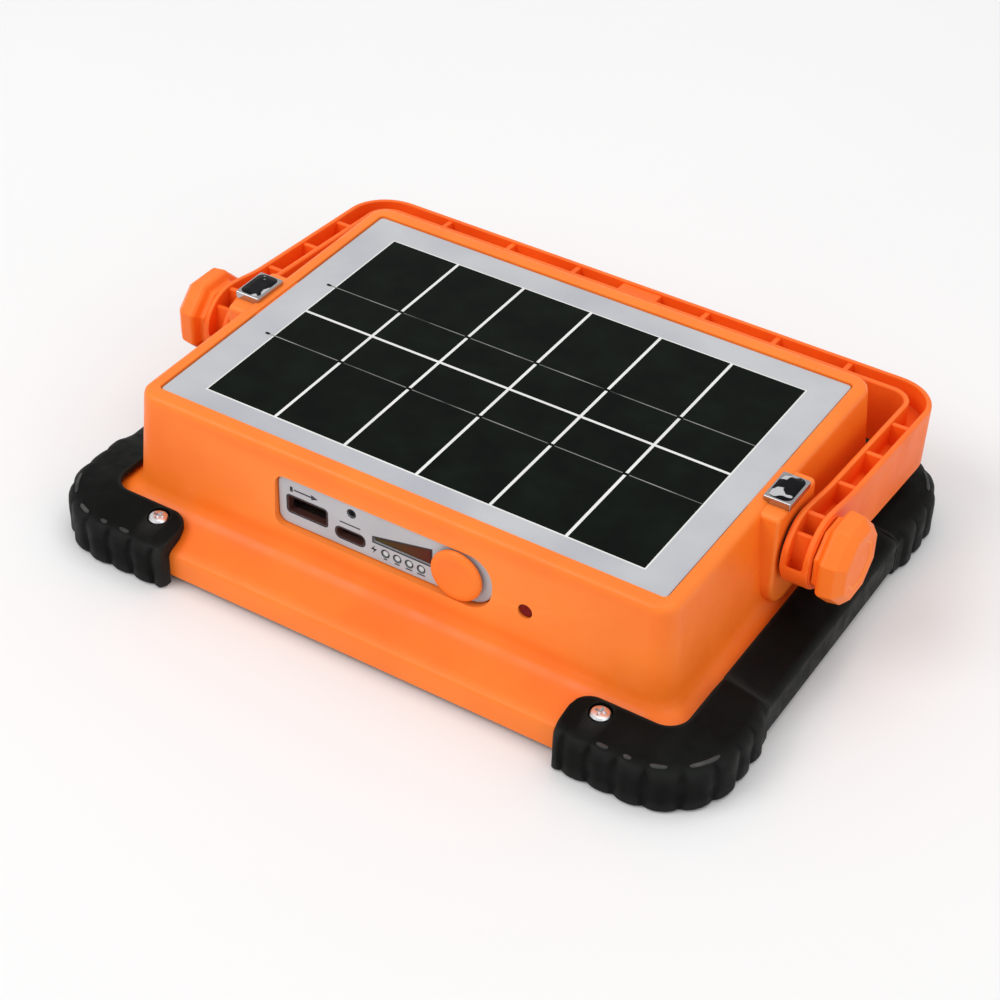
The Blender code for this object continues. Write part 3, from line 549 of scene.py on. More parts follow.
def slope_top(offset):
    """Height of a bumper's sloping back at an offset from the flange."""
    return 14.7 + 2.9 * (3.9 - offset) / 15.0


def slope_under(offset):
    """Height of a bumper's underside over the housing's slope."""
    return 11.9 + 3.3 * (-2.4 - offset) / 8.6


def bumper_section(out, drop, valley, reach):
    """(offset, height) loop of a bumper: valley is 0 on a tread lobe and 1 between two."""
    foot = out - 1.15 * valley
    belt = out - 0.95 * valley
    inner = -reach
    offsets = (out - 4.6, 0.5 * inner, inner + 1.6, inner + 0.8)
    back = [(offset, slope_top(offset) - drop) for offset in offsets]
    end = slope_top(inner + 0.6) - drop
    return [
        (0.3, 0.0), (foot - 1.1, 0.0), (foot - 0.4, 0.3), (foot, 1.0), (foot - 0.1, 4.6), (belt, 8.2),
        (out - 0.05 - 0.90 * valley, 10.6), (out - 0.2 - 0.85 * valley, 12.3),
        (out - 0.6 - 0.75 * valley, 13.4 - drop),
        (out - 1.4 - 0.55 * valley, 14.2 - drop),
        (out - 2.6 - 0.3 * valley, slope_top(out - 2.6) - 0.15 - drop), *back,
        (inner + 0.25, end - 0.2), (inner, end - 0.7), (inner, slope_under(inner) + 0.4),
        (inner + 0.5, slope_under(inner + 0.5)), (-2.4, 11.95), (-0.4, 11.2), (0.3, 9.8),
    ]


def shoulder_ridges(sx, sy):
    """Short raised dashes along the top edge of a bumper, their paler grey a painted highlight."""
    stations = flange_stations(sx, sy, 0.6)
    dashes = []
    for start, end in ((13.0, 17.0), (21.0, 24.5), (28.5, 33.5), (38.0, 47.0)):
        span = [station for station in stations if start <= station[2] <= end]
        rings = []
        for k, (point, out, *_) in enumerate(span):
            half = 0.62 * math.sqrt(max(0.12, 1.0 - (2.0 * k / (len(span) - 1) - 1.0) ** 6))
            middle = BUMPER_OUT - 2.9
            loop = [(middle + half, -0.35), (middle + 0.8 * half, 0.12), (middle + 0.3 * half, 0.2),
                    (middle - 0.3 * half, 0.2), (middle - 0.8 * half, 0.12), (middle - half, -0.35)]
            rings.append([(point[0] + out[0] * o, point[1] + out[1] * o, slope_top(o) + h) for o, h in loop])
        dashes.append(skin(rings))
    return merge(dashes)


def make_bumpers():
    pitch = 8.2
    for name, sx, sy in CORNERS:
        rings = []
        for point, out, run, total in flange_stations(sx, sy, 0.72):
            lobes = abs(math.sin(math.pi * (run - 0.5 * total) / pitch))
            valley = (1.0 - lobes) ** 1.5
            corner, tip = (max(0.0, 1.0 - run / width) for width in (6.5, 2.6))
            reach = 11.4 - 5.6 * (1.0 - math.sqrt(1.0 - corner * corner))
            near_bar = max(0.0, 1.0 - (total - run) / 7.0)
            near_bar = near_bar * near_bar * (3.0 - 2.0 * near_bar)
            out_by = BUMPER_OUT - 1.9 * (1.0 - math.sqrt(1.0 - tip * tip)) - 1.7 * near_bar
            section = bumper_section(out_by, 0.6 * near_bar, valley * (1.0 - near_bar), reach)
            rings.append([(point[0] + out[0] * o, point[1] + out[1] * o, h) for o, h in section])
        place(f"bumper_{name}_ridges", shoulder_ridges(sx, sy), RIDGE_HIGHLIGHT_GREY, "housing",
              angle=50.0)
        mid = (sx * SCREW[0], sy * SCREW[1])
        bore = turned(((SCREW_SEAT, 3.5), (25.0, 3.5)), ring_z, mid, 40)
        bumper = combine(skin(rings), bore, "DIFFERENCE")
        place(f"bumper_{name}_tread", bumper, BLACK, "housing", [f"bumper_{name}"],
              angle=42.0)
        head = turned(((12.0, 1.45), (15.62, 1.45), (15.62, 2.95), (15.8, 3.1), (16.4, 3.05), (16.9, 2.7),
                       (17.15, 2.1), (17.2, 1.2)), ring_z, mid, 40)
        for a, b in ((1.8, 0.45), (0.45, 1.8)):
            slot = block((mid[0] - a, mid[1] - b, 16.1), (mid[0] + a, mid[1] + b, 18.0), 0.0)
            head = combine(head, slot, "DIFFERENCE")
        place(f"screw_{name}_head", head, STEEL, "housing", [f"bumper_screw_{name}"], angle=30.0)
    for side, sign in SIDES:
        section = [
            (0.3, 2.3), (2.6, 2.3), (3.15, 2.5), (3.4, 3.1), (3.4, 11.6), (3.2, 12.5), (2.6, 13.2),
            (1.8, 13.7),
            (0.6, 14.0), (-5.0, 15.45), (-10.2, 16.8), (-10.9, 16.95), (-11.35, 16.7), (-11.5, 16.2),
            (-11.4, 15.7),
            (-11.0, 15.25), (-2.4, 11.9), (-0.4, 11.2), (0.3, 9.8),
        ]
        rings = []
        for k in range(41):
            y = BUMPER_END[1] * (k / 20.0 - 1.0)
            y = math.copysign(min(abs(y), BUMPER_END[1] - 0.3), y)
            rings.append([(sign * (FLANGE[0] + o), y, h) for o, h in section])
        place(f"side_strip_{side}", skin(rings), BLACK_BAR, "housing", [f"side_bar_{side}"],
              angle=42.0)


# ---------------------------------------------------------------- handle, knobs, magnets

def bail_stations():
    """Stations along the handle from one pivot's far end to the other: the outer face's point, the inward
    direction, half depths up and down, and how far along the arm it is (None on the crossbar)."""
    arm = []
    for k in range(9):
        angle = math.radians(12.0 + 78.0 * k / 8.0)
        arm.append((-ARM_END_R * math.cos(angle), ARM_END_R * math.sin(angle)))
    for y in (4.0, 8.0, 12.0, 15.0, 18.0, 24.0, 32.0, 40.0, 48.0, 56.0, 64.0):
        share = min(y / 18.0, 1.0)
        share = share * share * (3.0 - 2.0 * share)
        arm.append((y, ARM_END_R + (BAND_HALF - ARM_END_R) * share))
    stations = [((ARM_OUT, y), (-1.0, 0.0), half, y) for y, half in arm]
    for k in range(ARC + 1):
        angle = math.radians(90.0 * k / ARC)
        out = (math.cos(angle), math.sin(angle))
        point = (ARM_OUT - HANDLE_R + HANDLE_R * out[0], BAR_OUT - HANDLE_R + HANDLE_R * out[1])
        stations.append((point, (-out[0], -out[1]), BAND_HALF, None))
    stations += [((x, BAR_OUT), (0.0, -1.0), BAND_HALF, None) for x in (80.0, 60.0, 40.0, 20.0)]
    mirrored = [((-p[0], p[1]), (-n[0], n[1]), half, y) for p, n, half, y in reversed(stations)]
    return stations + [((0.0, BAR_OUT), (0.0, -1.0), BAND_HALF, None)] + mirrored


def channel_section(half, reach):
    """(depth in from the outer face, height) loop of a channel that is open upwards."""
    wall, lip, inner_lip, fillet = 1.8, 0.75, 0.45, 0.9
    web = BAND_HALF - 8.0
    if reach is not None and reach < 6.0:
        web -= (web + 8.0) * min((6.0 - reach) / 13.0, 1.0) ** 1.3
    web = max(web, -half + 1.3)
    web = min(web, half - 1.2)
    far = ARM_T - wall
    d = 0.293

    def bend(points_from, corner, points_to, size):
        """Two-step rounding between two edges that meet at a corner."""
        a = (corner[0] + (points_from[0]) * size, corner[1] + points_from[1] * size)
        b = (corner[0] + (points_to[0]) * size, corner[1] + points_to[1] * size)
        mid = (corner[0] + (points_from[0] + points_to[0]) * size * d,
               corner[1] + (points_from[1] + points_to[1]) * size * d)
        return [a, mid, b]

    up, down, inwards, outwards = (0.0, 1.0), (0.0, -1.0), (1.0, 0.0), (-1.0, 0.0)
    loop = bend(inwards, (0.0, -half), up, lip)
    loop += bend(down, (0.0, half), inwards, lip)
    loop += bend(outwards, (wall, half), down, inner_lip)
    loop += bend(up, (wall, web), inwards, fillet)
    loop += bend(outwards, (far, web), up, fillet)
    loop += bend(down, (far, half), inwards, inner_lip)
    loop += bend(outwards, (ARM_T, half), down, lip)
    loop += bend(up, (ARM_T, -half), outwards, lip)
    return loop


def tilted(shape):
    """Swing a shape built level about the handle's axis down to where the handle rests."""
    bmesh.ops.rotate(shape, cent=(0.0, 0.0, 0.0), matrix=Matrix.Rotation(HANDLE_TILT, 3, "X"),
                     verts=shape.verts)
    bmesh.ops.translate(shape, vec=(0.0, 0.0, PIVOT_Z), verts=shape.verts)
    return shape


def make_handle():
    """Channel-section bail with cross ribs, a hang slot in the crossbar and round pivot ends."""
    rings = []
    for point, inward, half, reach in bail_stations():
        loop = channel_section(half, reach)
        rings.append([(point[0] + inward[0] * t, point[1] + inward[1] * t, z) for t, z in loop])
    band = skin(rings)
    ribs = []
    low, top = 1.0, BAND_HALF - 0.7
    bar_in, bar_out = BAR_OUT - ARM_T + 1.4, BAR_OUT - 1.4
    for sign in (-1, 1):
        for x in (24.2, 49.7, 75.0):
            ribs.append(block((sign * x - 0.9, bar_in, low), (sign * x + 0.9, bar_out, top), 0.3))
        x0, x1 = sorted((sign * (ARM_IN + 1.4), sign * (ARM_OUT - 1.4)))
        for y in (20.7, 40.2, 59.2):
            ribs.append(block((x0, y - 0.9, low), (x1, y + 0.9, top), 0.3))
        ribs.append(block((x0, -0.9, -4.0), (x1, 0.9, ARM_END_R - 0.9), 0.3))
        ribs.append(block((x0, -7.4, -6.0), (x1, -5.8, ARM_END_R - 4.2), 0.3))
    ribs.append(block((-7.2, bar_in, low), (7.2, bar_out, top), 0.4))
    band = combine(band, merge(ribs), "UNION")
    slot = slab(lambda i: rounded_rect(5.0 - i, 2.2 - i, 2.1 - i, segments=6), ring_y, BAR_OUT - 20.0,
                BAR_OUT + 5.0, 0.01, 1)
    band = combine(band, slot, "DIFFERENCE")
    bosses = []
    for sign in (-1, 1):
        for face, way in ((ARM_OUT, 1.0), (ARM_IN, -1.0)):
            profile = ((face - way * 1.0, 11.2), (face + way * 0.15, 11.2), (face + way * 0.3, 11.0),
                       (face + way * 0.3, 4.0))
            bosses.append(turned([(sign * x, r) for x, r in profile], ring_x, (0.0, 0.0)))
    band = merge([band] + bosses)
    place("handle_bail", tilted(band), ORANGE_HANDLE, "handle", ["handle"], angle=50.0)


def make_knobs():
    """Eight-sided clamping knobs with chamfered ends and a shallow dish."""
    low = ARM_OUT + 0.6
    profile = (
        (low, KNOB_R - 3.2), (low + 1.6, KNOB_R - 2.8), (low + 2.6, KNOB_R - 0.6), (low + 3.6, KNOB_R),
        (KNOB_OUT - 2.6, KNOB_R - 0.6), (KNOB_OUT, KNOB_R - 3.4), (KNOB_OUT, KNOB_R - 6.4),
        (KNOB_OUT - 0.5, KNOB_R - 7.0),
    )
    for side, sign in SIDES:
        angles = [math.pi / 8.0 + math.pi * step / 4.0 for step in range(8)]
        rings = [[(sign * x, r * math.cos(a), PIVOT_Z + r * math.sin(a)) for a in angles] for x, r in profile]
        place(f"knob_{side}_grip", skin(rings), ORANGE_KNOB, f"knob_{side}",
              [f"clamp_knob_{side}"],
              angle=16.0, bevel=0.8)


def make_magnets():
    for side, sign in SIDES:
        low = (sign * MAGNET_X - MAGNET[0], -MAGNET[1], MAGNET_TOP - MAGNET[2])
        high = (sign * MAGNET_X + MAGNET[0], MAGNET[1], MAGNET_TOP)
        body = block(low, high, 0.45, 3)
        dish = slab(lambda i: rounded_rect(MAGNET[0] - 0.7 - i, MAGNET[1] - 0.7 - i, 2.2,
                                           (sign * MAGNET_X, 0.0), 6),
                    ring_z, MAGNET_TOP - 0.35, MAGNET_TOP + 1.0, 0.05, 1)
        place(f"magnet_{side}_block", combine(body, dish, "DIFFERENCE"), CHROME, "housing",
              [f"magnet_{side}"], angle=50.0)
        dome = skin([ring_z(rounded_rect(MAGNET[0] - 0.75 - i, MAGNET[1] - 0.75 - i, 2.15 - 0.7 * i,
                                         (sign * MAGNET_X, 0.0), 6),
                            MAGNET_TOP - h) for i, h in ((0.0, 0.5), (0.0, 0.25), (0.4, 0.12), (1.1, 0.03),
                                                         (1.9, 0.0))])
        place(f"magnet_{side}_face", dome, MIRROR, "housing", angle=50.0)


# ---------------------------------------------------------------- port plate

def make_plate():
    """Silver plate with its cut-outs, sockets, gauge window, marks, button and red light."""
    plate = slab(lambda i: plate_outline(-i), ring_y, PLATE_Y + PLATE_T, PLATE_Y, 0.45)
    front, back = PLATE_Y - 1.0, PLATE_Y + PLATE_T + 1.0
    wedge = [tuple(p) for p in GAUGE]
    holes = [
        skin([ring_y(rounded_rect(*USB_A_HALF, 0.9, USB_A, 4), y) for y in (front, back)]),
        skin([ring_y(rounded_rect(*USB_C_HALF, 1.6, USB_C, 6), y) for y in (front, back)]),
        turned(((front, 1.3), (back, 1.3)), ring_y, PINHOLE, 24),
        turned(((front, 6.3), (back, 6.3)), ring_y, BUTTON, 40),
        skin([ring_y(gauge_outline(0.3), y) for y in (front, back)]),
    ]
    holes += [turned(((front, 1.15), (back, 1.15)), ring_y, (x, GUIDE_Z), 20) for x in GUIDE_X]
    plate = combine(plate, merge(holes), "DIFFERENCE")
    place("plate_face", plate, PLATE_SILVER, "housing", ["port_plate"], angle=30.0,
          bevel=0.12)
    window = skin([ring_y(wedge, y) for y in (PLATE_Y + 0.35, PLATE_Y + PLATE_T)])
    place("gauge_pane", window, GAUGE_TINT, "housing", ["gauge_window"], angle=30.0,
          bevel=0.15)
    make_marks()
    make_sockets()
    make_button()


def make_marks():
    """Printed signs on the plate: an outgoing arrow, a charging flash and one tick for each board light."""
    def print_shape(points):
        return skin([ring_y(points, PLATE_Y + 0.1), ring_y(points, PLATE_Y - 0.03)])

    x, z = USB_A[0], USB_A[1] + 5.6
    marks = [print_shape([(x - 4.6, z - 0.25), (x + 1.6, z - 0.25), (x + 1.6, z + 0.25),
                          (x - 4.6, z + 0.25)]),
             print_shape([(x + 1.6, z - 0.95), (x + 4.0, z), (x + 1.6, z + 0.95)]),
             print_shape([(x - 6.0, z - 0.9), (x - 5.0, z - 0.9), (x - 5.0, z + 0.9), (x - 6.0, z + 0.9)])]
    x, z = USB_C[0], USB_C[1] + 4.2
    marks.append(print_shape([(x - 3.6, z - 0.22), (x + 3.6, z - 0.22), (x + 3.6, z + 0.22),
                              (x - 3.6, z + 0.22)]))
    x = GUIDE_X[0] - 4.0
    marks.append(print_shape([(x + 0.5, GUIDE_Z + 1.5), (x - 1.1, GUIDE_Z - 0.3), (x + 0.1, GUIDE_Z - 0.3),
                              (x - 0.5, GUIDE_Z - 1.7), (x + 1.1, GUIDE_Z + 0.3), (x - 0.1, GUIDE_Z + 0.3)]))
    for number, x in enumerate(GUIDE_X, 1):
        z = GUIDE_Z - 2.0
        width = 0.35 + 0.25 * number
        marks.append(print_shape([(x - width, z - 0.25), (x + width, z - 0.25), (x + width, z + 0.2),
                                  (x - width, z + 0.2)]))
    place("plate_marks", merge(marks), INK_AND_PAINTED_SHADOW, "housing", flat=True)
    # Dark rings round the cut-outs: painted shadow.
    rims = [painted_shadow_ring(rounded_rect(USB_A_HALF[0] + w, USB_A_HALF[1] + w, 0.9 + w, USB_A, 4)
                         for w in (0.0, 0.45)),
            painted_shadow_ring(rounded_rect(USB_C_HALF[0] + w, USB_C_HALF[1] + w, 1.6 + w, USB_C, 6)
                         for w in (0.0, 0.4)),
            painted_shadow_ring(circle(r, PINHOLE, 24) for r in (1.3, 1.6)),
            painted_shadow_ring(gauge_outline(w) for w in (0.3, 0.75))]
    rims += [painted_shadow_ring(circle(r, (x, GUIDE_Z), 20) for r in (1.15, 1.5)) for x in GUIDE_X]
    place("cutout_shadows", merge(rims), INK_AND_PAINTED_SHADOW, "housing", flat=True)
    # Black cup just inside the pinhole: painted shade that darkens the hole.
    shade_cup = turned(((PLATE_Y + 0.5, 0.7), (PLATE_Y + 0.25, 1.27), (PLATE_Y + 1.5, 1.27)), ring_y, PINHOLE, 24)
    place("pinhole_painted_shade", shade_cup, BLACK_BAR, "housing", angle=30.0)
    liners = [sleeve(rounded_rect(USB_A_HALF[0] - w, USB_A_HALF[1] - w, 0.9 - w, USB_A, 4)
                     for w in (0.02, 0.35)),
              sleeve(rounded_rect(USB_C_HALF[0] - w, USB_C_HALF[1] - w, 1.6 - w, USB_C, 6)
                     for w in (0.02, 0.30))]
    place("socket_liners", merge(liners), LINER, "housing", angle=30.0)


def sleeve(outlines):
    """Thin-walled liner through the plate between an outer and an inner outline."""
    outer, inner = outlines
    front, back = PLATE_Y + 0.12, PLATE_Y + PLATE_T + 0.1
    return skin([ring_y(outer, back), ring_y(outer, front), ring_y(inner, front), ring_y(inner, back)],
                closed=True)


def painted_shadow_ring(outlines):
    """Thin ring of painted shadow on the plate between an inner and an outer outline."""
    inner, outer = outlines
    front, back = PLATE_Y - 0.03, PLATE_Y + 0.1
    return skin([ring_y(outer, back), ring_y(outer, front), ring_y(inner, front), ring_y(inner, back)],
                closed=True)


def gauge_outline(grow):
    """The gauge window's outline, grown by a width in millimetres."""
    ways = ((-1, -1), (1, -1), (1, 1), (-1, 1))
    return [(p[0] + dx * grow, p[1] + dz * grow) for p, (dx, dz) in zip(GAUGE, ways)]


def make_sockets():
    mouth = PLATE_Y + PLATE_T + 0.3
    x, z = USB_A
    shell = slab(lambda i: rounded_rect(7.2 - i, 3.2 - i, 0.9, USB_A, 4), ring_y, mouth, mouth + 14.0, 0.2)
    hollow = slab(lambda i: rounded_rect(6.5 - i, 2.6 - i, 0.5, USB_A, 4), ring_y, mouth - 1.0,
                  mouth + 11.5, 0.1)
    place("usb_a_shell", combine(shell, hollow, "DIFFERENCE"), SOCKET_STEEL, "housing",
          ["usb_a_socket"], angle=30.0)
    tongue = [block((x - 5.6, mouth + 1.5, z + 0.2), (x + 5.6, mouth + 12.0, z + 2.0), 0.25)]
    place("usb_a_tongue", merge(tongue), SOCKET_BLACK, "housing")
    pins = [block((x + dx - 0.6, mouth + 2.6, z + 0.02), (x + dx + 0.6, mouth + 9.5, z + 0.25), 0.08, 1)
            for dx in (-3.5, -1.1, 1.1, 3.5)]
    place("usb_a_contacts", merge(pins), GOLD, "housing")
    x, z = USB_C
    shell = slab(lambda i: rounded_rect(4.9 - i, 1.9 - i, 1.5, USB_C, 6), ring_y, mouth, mouth + 8.5, 0.15)
    hollow = slab(lambda i: rounded_rect(4.3 - i, 1.35 - i, 1.2, USB_C, 6), ring_y, mouth - 1.0,
                  mouth + 6.5, 0.05)
    place("usb_c_shell", combine(shell, hollow, "DIFFERENCE"), SOCKET_STEEL, "housing",
          ["usb_c_socket"], angle=30.0)
    tongue = block((x - 3.2, mouth + 0.8, z - 0.35), (x + 3.2, mouth + 7.0, z + 0.35), 0.12)
    place("usb_c_tongue", tongue, SOCKET_BLACK, "housing")


def make_button():
    head = PLATE_Y - 1.1
    profile = (
        (head - 1.62, 3.0), (head - 1.66, 4.6), (head - 1.78, 5.6), (head - 1.8, 6.2), (head - 1.72, 6.9),
        (head - 1.5, 7.6),
        (head - 1.15, 8.15), (head - 0.8, 8.42), (head - 0.4, 8.5), (head, 8.4), (head, 6.0),
        (PLATE_Y + PLATE_T + 0.6, 6.0),
    )
    place("button_cap", turned(profile, ring_y, BUTTON, 64), ORANGE, "power_button",
          ["power_button"], angle=40.0)
    lens = ((-64.9, 0.6), (-65.2, 1.2), (-65.2, 1.7), (-65.0, 2.05), (-61.5, 2.05), (-61.5, 2.8),
            (-60.3, 2.8))
    place("charge_lens", turned(lens, ring_y, LAMP_DOT, 32), RED_LENS, "housing",
          ["charge_light"], angle=40.0)


# ---------------------------------------------------------------- front

def make_front():
    """Clear cover with its printed border, four faceted reflectors, LED boards and corner caps."""
    half_x, half_y, radius = FLANGE[0] - 2.3, FLANGE[1] - 2.3, FLANGE[2] - 2.3
    cover = slab(lambda i: rounded_rect(half_x - i, half_y - i, radius - i), ring_z, RIM_Z, RIM_Z + COVER_T,
                 0.25)
    place("cover_pane", cover, CLEAR, "housing", ["front_cover"], angle=40.0)
    make_border(half_x, half_y, radius)
    make_reflectors()
    make_leds()
    for name, sx, sy in CORNERS:
        place(f"cap_{name}_cover", corner_cap(sx, sy), ORANGE, "housing",
              [f"corner_cap_{name}"], angle=40.0)


def window_outlines(grow):
    """Outlines of the four panes in the printed border."""
    left, right, low, high = WINDOW
    middle = (0.5 * (left + right), 0.5 * (low + high))
    half = (0.5 * (right - left) + grow, 0.5 * (high - low) + grow)
    return [rounded_rect(*half, WINDOW_R + grow, (sx * middle[0], sy * middle[1]), 8) for sx in (-1, 1)
            for sy in (-1, 1)]


def make_border(half_x, half_y, radius):
    """Black surround to the edge, and an olive frame notched at the middle of each side."""
    low = RIM_Z + COVER_T + 0.03
    black = skin([ring_z(rounded_rect(half_x - 0.2, half_y - 0.2, radius), z)
                  for z in (low + 0.1, low + 0.2)])
    outlines = window_outlines(OLIVE_WIDTH) + [rounded_rect(OLIVE_HUB, OLIVE_HUB, 2.0, segments=4)]
    olive_out = [skin([ring_z(outline, z) for z in (low, low + 0.18)]) for outline in outlines]
    olive = olive_out[0]
    for other in olive_out[1:]:
        olive = combine(olive, other, "UNION")
    panes = merge([skin([ring_z(outline, z) for z in (low - 1.0, low + 1.0)])
                   for outline in window_outlines(0.0)])
    panes_again = panes.copy()
    place("olive_frame", combine(olive, panes, "DIFFERENCE"), OLIVE, "housing", angle=30.0)
    place("black_surround", combine(black, panes_again, "DIFFERENCE"), SURROUND, "housing",
          angle=30.0)
    make_pictograms(low)


def make_pictograms(low):
    """Two plain signs in place of lettering: a shining lamp and a water drop."""
    def flat(points):
        return skin([ring_z(points, low), ring_z(points, low + 0.15)])

    x, y = -58.0, -75.6
    signs = [flat(circle(1.5, (x, y), 24))]
    for k in range(8):
        a = math.pi * k / 4.0
        across = (-math.sin(a) * 0.22, math.cos(a) * 0.22)
        ends = [(x + r * math.cos(a), y + r * math.sin(a)) for r in (2.0, 2.8)]
        signs.append(flat([(ends[0][0] - across[0], ends[0][1] - across[1]),
                           (ends[1][0] - across[0], ends[1][1] - across[1]),
                           (ends[1][0] + across[0], ends[1][1] + across[1]),
                           (ends[0][0] + across[0], ends[0][1] + across[1])]))
    x = 59.5
    drop = [(x + 1.5 * math.cos(a), y - 0.5 + 1.5 * math.sin(a)) for a in
            [math.radians(-215.0 + 250.0 * k / 20.0) for k in range(21)]] + [(x, y + 2.7)]
    signs.append(flat(drop))
    place("front_signs", merge(signs), OLIVE, "housing", flat=True)


def make_reflectors():
    """Deck and cups, their four sloping walls covered by small pillow facets."""
    rng = random.Random(11)
    half_x, half_y, radius = FLANGE[0] - 7.5, FLANGE[1] - 7.5, FLANGE[2] - 7.5
    deck = slab(lambda i: rounded_rect(half_x - i, half_y - i, radius - i, segments=6), ring_z,
                DECK_Z + 0.1, DECK_Z + 1.2, 0.1, 1)
    openings = []
    for sx in (-1, 1):
        for sy in (-1, 1):
            outline = rounded_rect(*CUP_MOUTH, 0.5, (sx * CUP[0], sy * CUP[1]), 1)
            openings.append(skin([ring_z(outline, z) for z in (DECK_Z - 1.0, DECK_Z + 3.0)]))
    place("reflector_deck", combine(deck, merge(openings), "DIFFERENCE"), SILVERED, "housing",
          angle=30.0)
    walls = bmesh.new()
    for sx in (-1, 1):
        for sy in (-1, 1):
            mid = Vector((sx * CUP[0], sy * CUP[1], 0.0))
            mouth = [Vector((x, y, DECK_Z + 0.3)) + mid for x, y in signed_corners(CUP_MOUTH)]
            floor = [Vector((x, y, CUP_TOP)) + mid for x, y in signed_corners(CUP_FLOOR)]
            for k in range(4):
                facet_wall(walls, mouth[k], mouth[(k + 1) % 4], floor[(k + 1) % 4], floor[k], rng)
    place("reflector_cups", walls, SILVERED, "housing", ["reflector_tray"], flat=True)


def signed_corners(half):
    return [(half[0], half[1]), (-half[0], half[1]), (-half[0], -half[1]), (half[0], -half[1])]


def facet_wall(bm, a, b, c, d, rng):
    """Fill the quad a b c d with square facets, each raised to a shallow point off its middle."""
    across = max(2, round((b - a).length / 3.3))
    deep = max(2, round((d - a).length / 2.9))
    normal = (b - a).cross(d - a).normalized()
    if normal.z > 0.0:
        normal.negate()

    def spot(u, v):
        return a.lerp(b, u).lerp(d.lerp(c, u), v)

    grid = [[bm.verts.new(spot(i / across, j / deep)) for i in range(across + 1)] for j in range(deep + 1)]
    for j in range(deep):
        for i in range(across):
            shift = (rng.uniform(-0.18, 0.18), rng.uniform(-0.18, 0.18))
            top = spot((i + 0.5 + shift[0]) / across,
                       (j + 0.5 + shift[1]) / deep) + normal * rng.uniform(0.30, 0.55)
            peak = bm.verts.new(top)
            around = (grid[j][i], grid[j][i + 1], grid[j + 1][i + 1], grid[j + 1][i])
            for k in range(4):
                bm.faces.new((around[k], around[(k + 1) % 4], peak))


def make_leds():
    """White boards with twelve by six chips each, in warm and cool rows."""
    low = CUP_TOP + 0.3
    packages, warm, cool = [], [], []
    for number, (sx, sy) in enumerate(((-1, 1), (1, 1), (-1, -1), (1, -1)), 1):
        mid = (sx * CUP[0], sy * CUP[1])
        board = slab(lambda i: rounded_rect(BOARD_HALF[0] - i, BOARD_HALF[1] - i, 1.5, mid, 3), ring_z,
                     low, low + 1.6, 0.1, 1)
        place(f"led_board_{number}_plate", board, BOARD_BLUE, "housing",
              [f"led_board_{number}"], angle=30.0)
        for column in range(LEDS[0]):
            for row in range(LEDS[1]):
                x = mid[0] + (column - 0.5 * (LEDS[0] - 1)) * LED_PITCH[0]
                y = mid[1] + (row - 0.5 * (LEDS[1] - 1)) * LED_PITCH[1]
                packages.append(block((x - 2.1, y - 2.7, low - 0.55), (x + 2.1, y + 2.7, low + 0.1), 0.15, 1))
                chip = block((x - 1.8, y - 2.35, low - 0.64), (x + 1.8, y + 2.35, low - 0.4), 0.07, 1)
                (warm if row % 2 else cool).append(chip)
    place("led_packages", merge(packages), BOARD_WHITE, "housing", angle=30.0)
    place("led_warm", merge(warm), PHOSPHOR_WARM, "housing", angle=30.0)
    place("led_cool", merge(cool), PHOSPHOR_COOL, "housing", angle=30.0)


def corner_cap(sx, sy):
    """Flat L-shaped cap with softened rims."""
    def outline(inset):
        half_x, half_y, radius = FLANGE
        centre = (sx * (half_x - radius), sy * (half_y - radius))
        points = [(sx * (CAP_END[0] + inset), sy * (half_y - inset))]
        for k in range(ARC + 1):
            a = math.radians(90.0 - 90.0 * k / ARC)
            points.append((centre[0] + sx * (radius - inset) * math.cos(a),
                           centre[1] + sy * (radius - inset) * math.sin(a)))
        points += [(sx * (half_x - inset), sy * (CAP_END[1] + inset)),
                   (sx * (CAP_INNER[0] + inset), sy * (CAP_END[1] + inset))]
        for k in range(7):
            a = math.radians(90.0 * k / 6.0)
            points.append((sx * (CAP_INNER[0] - CAP_ROUND + (CAP_ROUND + inset) * math.cos(a)),
                           sy * (CAP_INNER[1] - CAP_ROUND + (CAP_ROUND + inset) * math.sin(a))))
        points.append((sx * (CAP_END[0] + inset), sy * (CAP_INNER[1] + inset)))
        return points

    return slab(outline, ring_z, RIM_Z - 0.3, 0.3, 0.6)


# ---------------------------------------------------------------- inner parts

def dress_inner_nodes():
    """Materials for the CAD solids that stay as they are."""
    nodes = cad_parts
    looks = {
        "battery_cell_1": CELL_WRAP, "battery_cell_2": CELL_WRAP, "battery_cell_3": CELL_WRAP,
        "battery_holder": SOCKET_BLACK, "control_board": BOARD_GREEN, "cover_gasket": GREY_RUBBER,
        "friction_washer_left": BLACK_BAR, "friction_washer_right": BLACK_BAR, "light_guide": GUIDE_CLEAR,
        "panel_seal": BLACK_BAR, "pivot_bolt_left": STEEL, "pivot_bolt_right": STEEL,
        "push_switch": SOCKET_BLACK,
    }
    for name, paint in looks.items():
        nodes[name].data.materials.clear()
        nodes[name].data.materials.append(paint)


# ---------------------------------------------------------------- stage

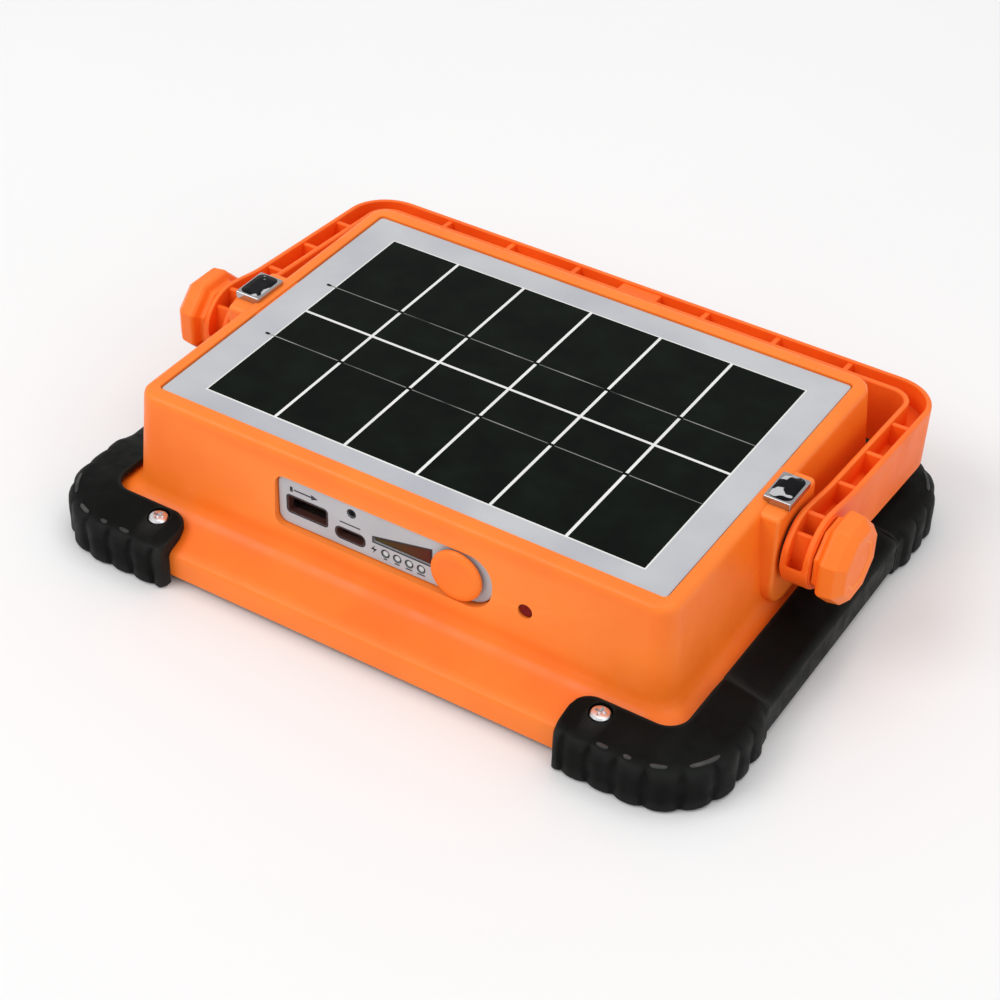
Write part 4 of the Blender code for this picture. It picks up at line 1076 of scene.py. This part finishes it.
def make_stage():
    """Pale floor, soft lights and the camera at the rear three-quarter view."""
    bm = bmesh.new()
    bmesh.ops.create_grid(bm, x_segments=8, y_segments=8, size=4.0)
    mesh = bpy.data.meshes.new("floor")
    bm.to_mesh(mesh)
    bm.free()
    floor = bpy.data.objects.new("floor", mesh)
    bpy.context.scene.collection.objects.link(floor)
    floor.location.z = -0.0002
    mesh.materials.append(worn("floor_paper", (0.86, 0.86, 0.86), (0.84, 0.84, 0.84), 0.85, grain=300.0,
                               depth=0.01, patch=2.0))
    world = bpy.data.worlds.new("studio")
    world.use_nodes = True
    background = world.node_tree.nodes["Background"]
    background.inputs["Color"].default_value = (1.0, 1.0, 1.0, 1.0)
    background.inputs["Strength"].default_value = 0.70
    bpy.context.scene.world = world
    bpy.context.scene.view_settings.view_transform = "Standard"
    lights = (
        ("key", (-0.9, -1.1, 1.5), 1.1, 14.0),
        ("top", (0.2, 0.4, 1.9), 1.4, 8.0),
        ("right", (1.4, -0.5, 0.9), 0.9, 3.0),
    )
    for name, spot, size, power in lights:
        data = bpy.data.lights.new(name, "AREA")
        data.size = size
        data.energy = power
        lamp = bpy.data.objects.new(name, data)
        lamp.location = spot
        lamp.rotation_euler = (Vector((0.0, 0.0, 0.03)) - Vector(spot)).to_track_quat("-Z", "Y").to_euler()
        bpy.context.scene.collection.objects.link(lamp)
    azimuth, elevation, roll = (math.radians(v) for v in (31.0, 38.6, 1.7))
    target, distance = Vector((0.0267, -0.0476, 0.0512)), 0.6405
    back = Vector((math.sin(azimuth) * math.cos(elevation), -math.cos(azimuth) * math.cos(elevation),
                   math.sin(elevation)))
    right = Vector((math.cos(azimuth), math.sin(azimuth), 0.0))
    up = back.cross(right)
    rolled_right = right * math.cos(roll) + up * math.sin(roll)
    rolled_up = up * math.cos(roll) - right * math.sin(roll)
    data = bpy.data.cameras.new("camera")
    data.sensor_width = 36.0
    data.lens = 1569.0 * ENLARGE * data.sensor_width / 1000.0
    camera = bpy.data.objects.new("camera", data)
    bpy.context.scene.collection.objects.link(camera)
    axes = Matrix((rolled_right, rolled_up, back)).transposed().to_4x4()
    camera.matrix_world = Matrix.Translation(target + back * distance) @ axes
    bpy.context.scene.camera = camera


make_stage()
make_housing()
make_panel()
make_bumpers()
make_handle()
make_knobs()
make_magnets()
make_plate()
make_front()
dress_inner_nodes()
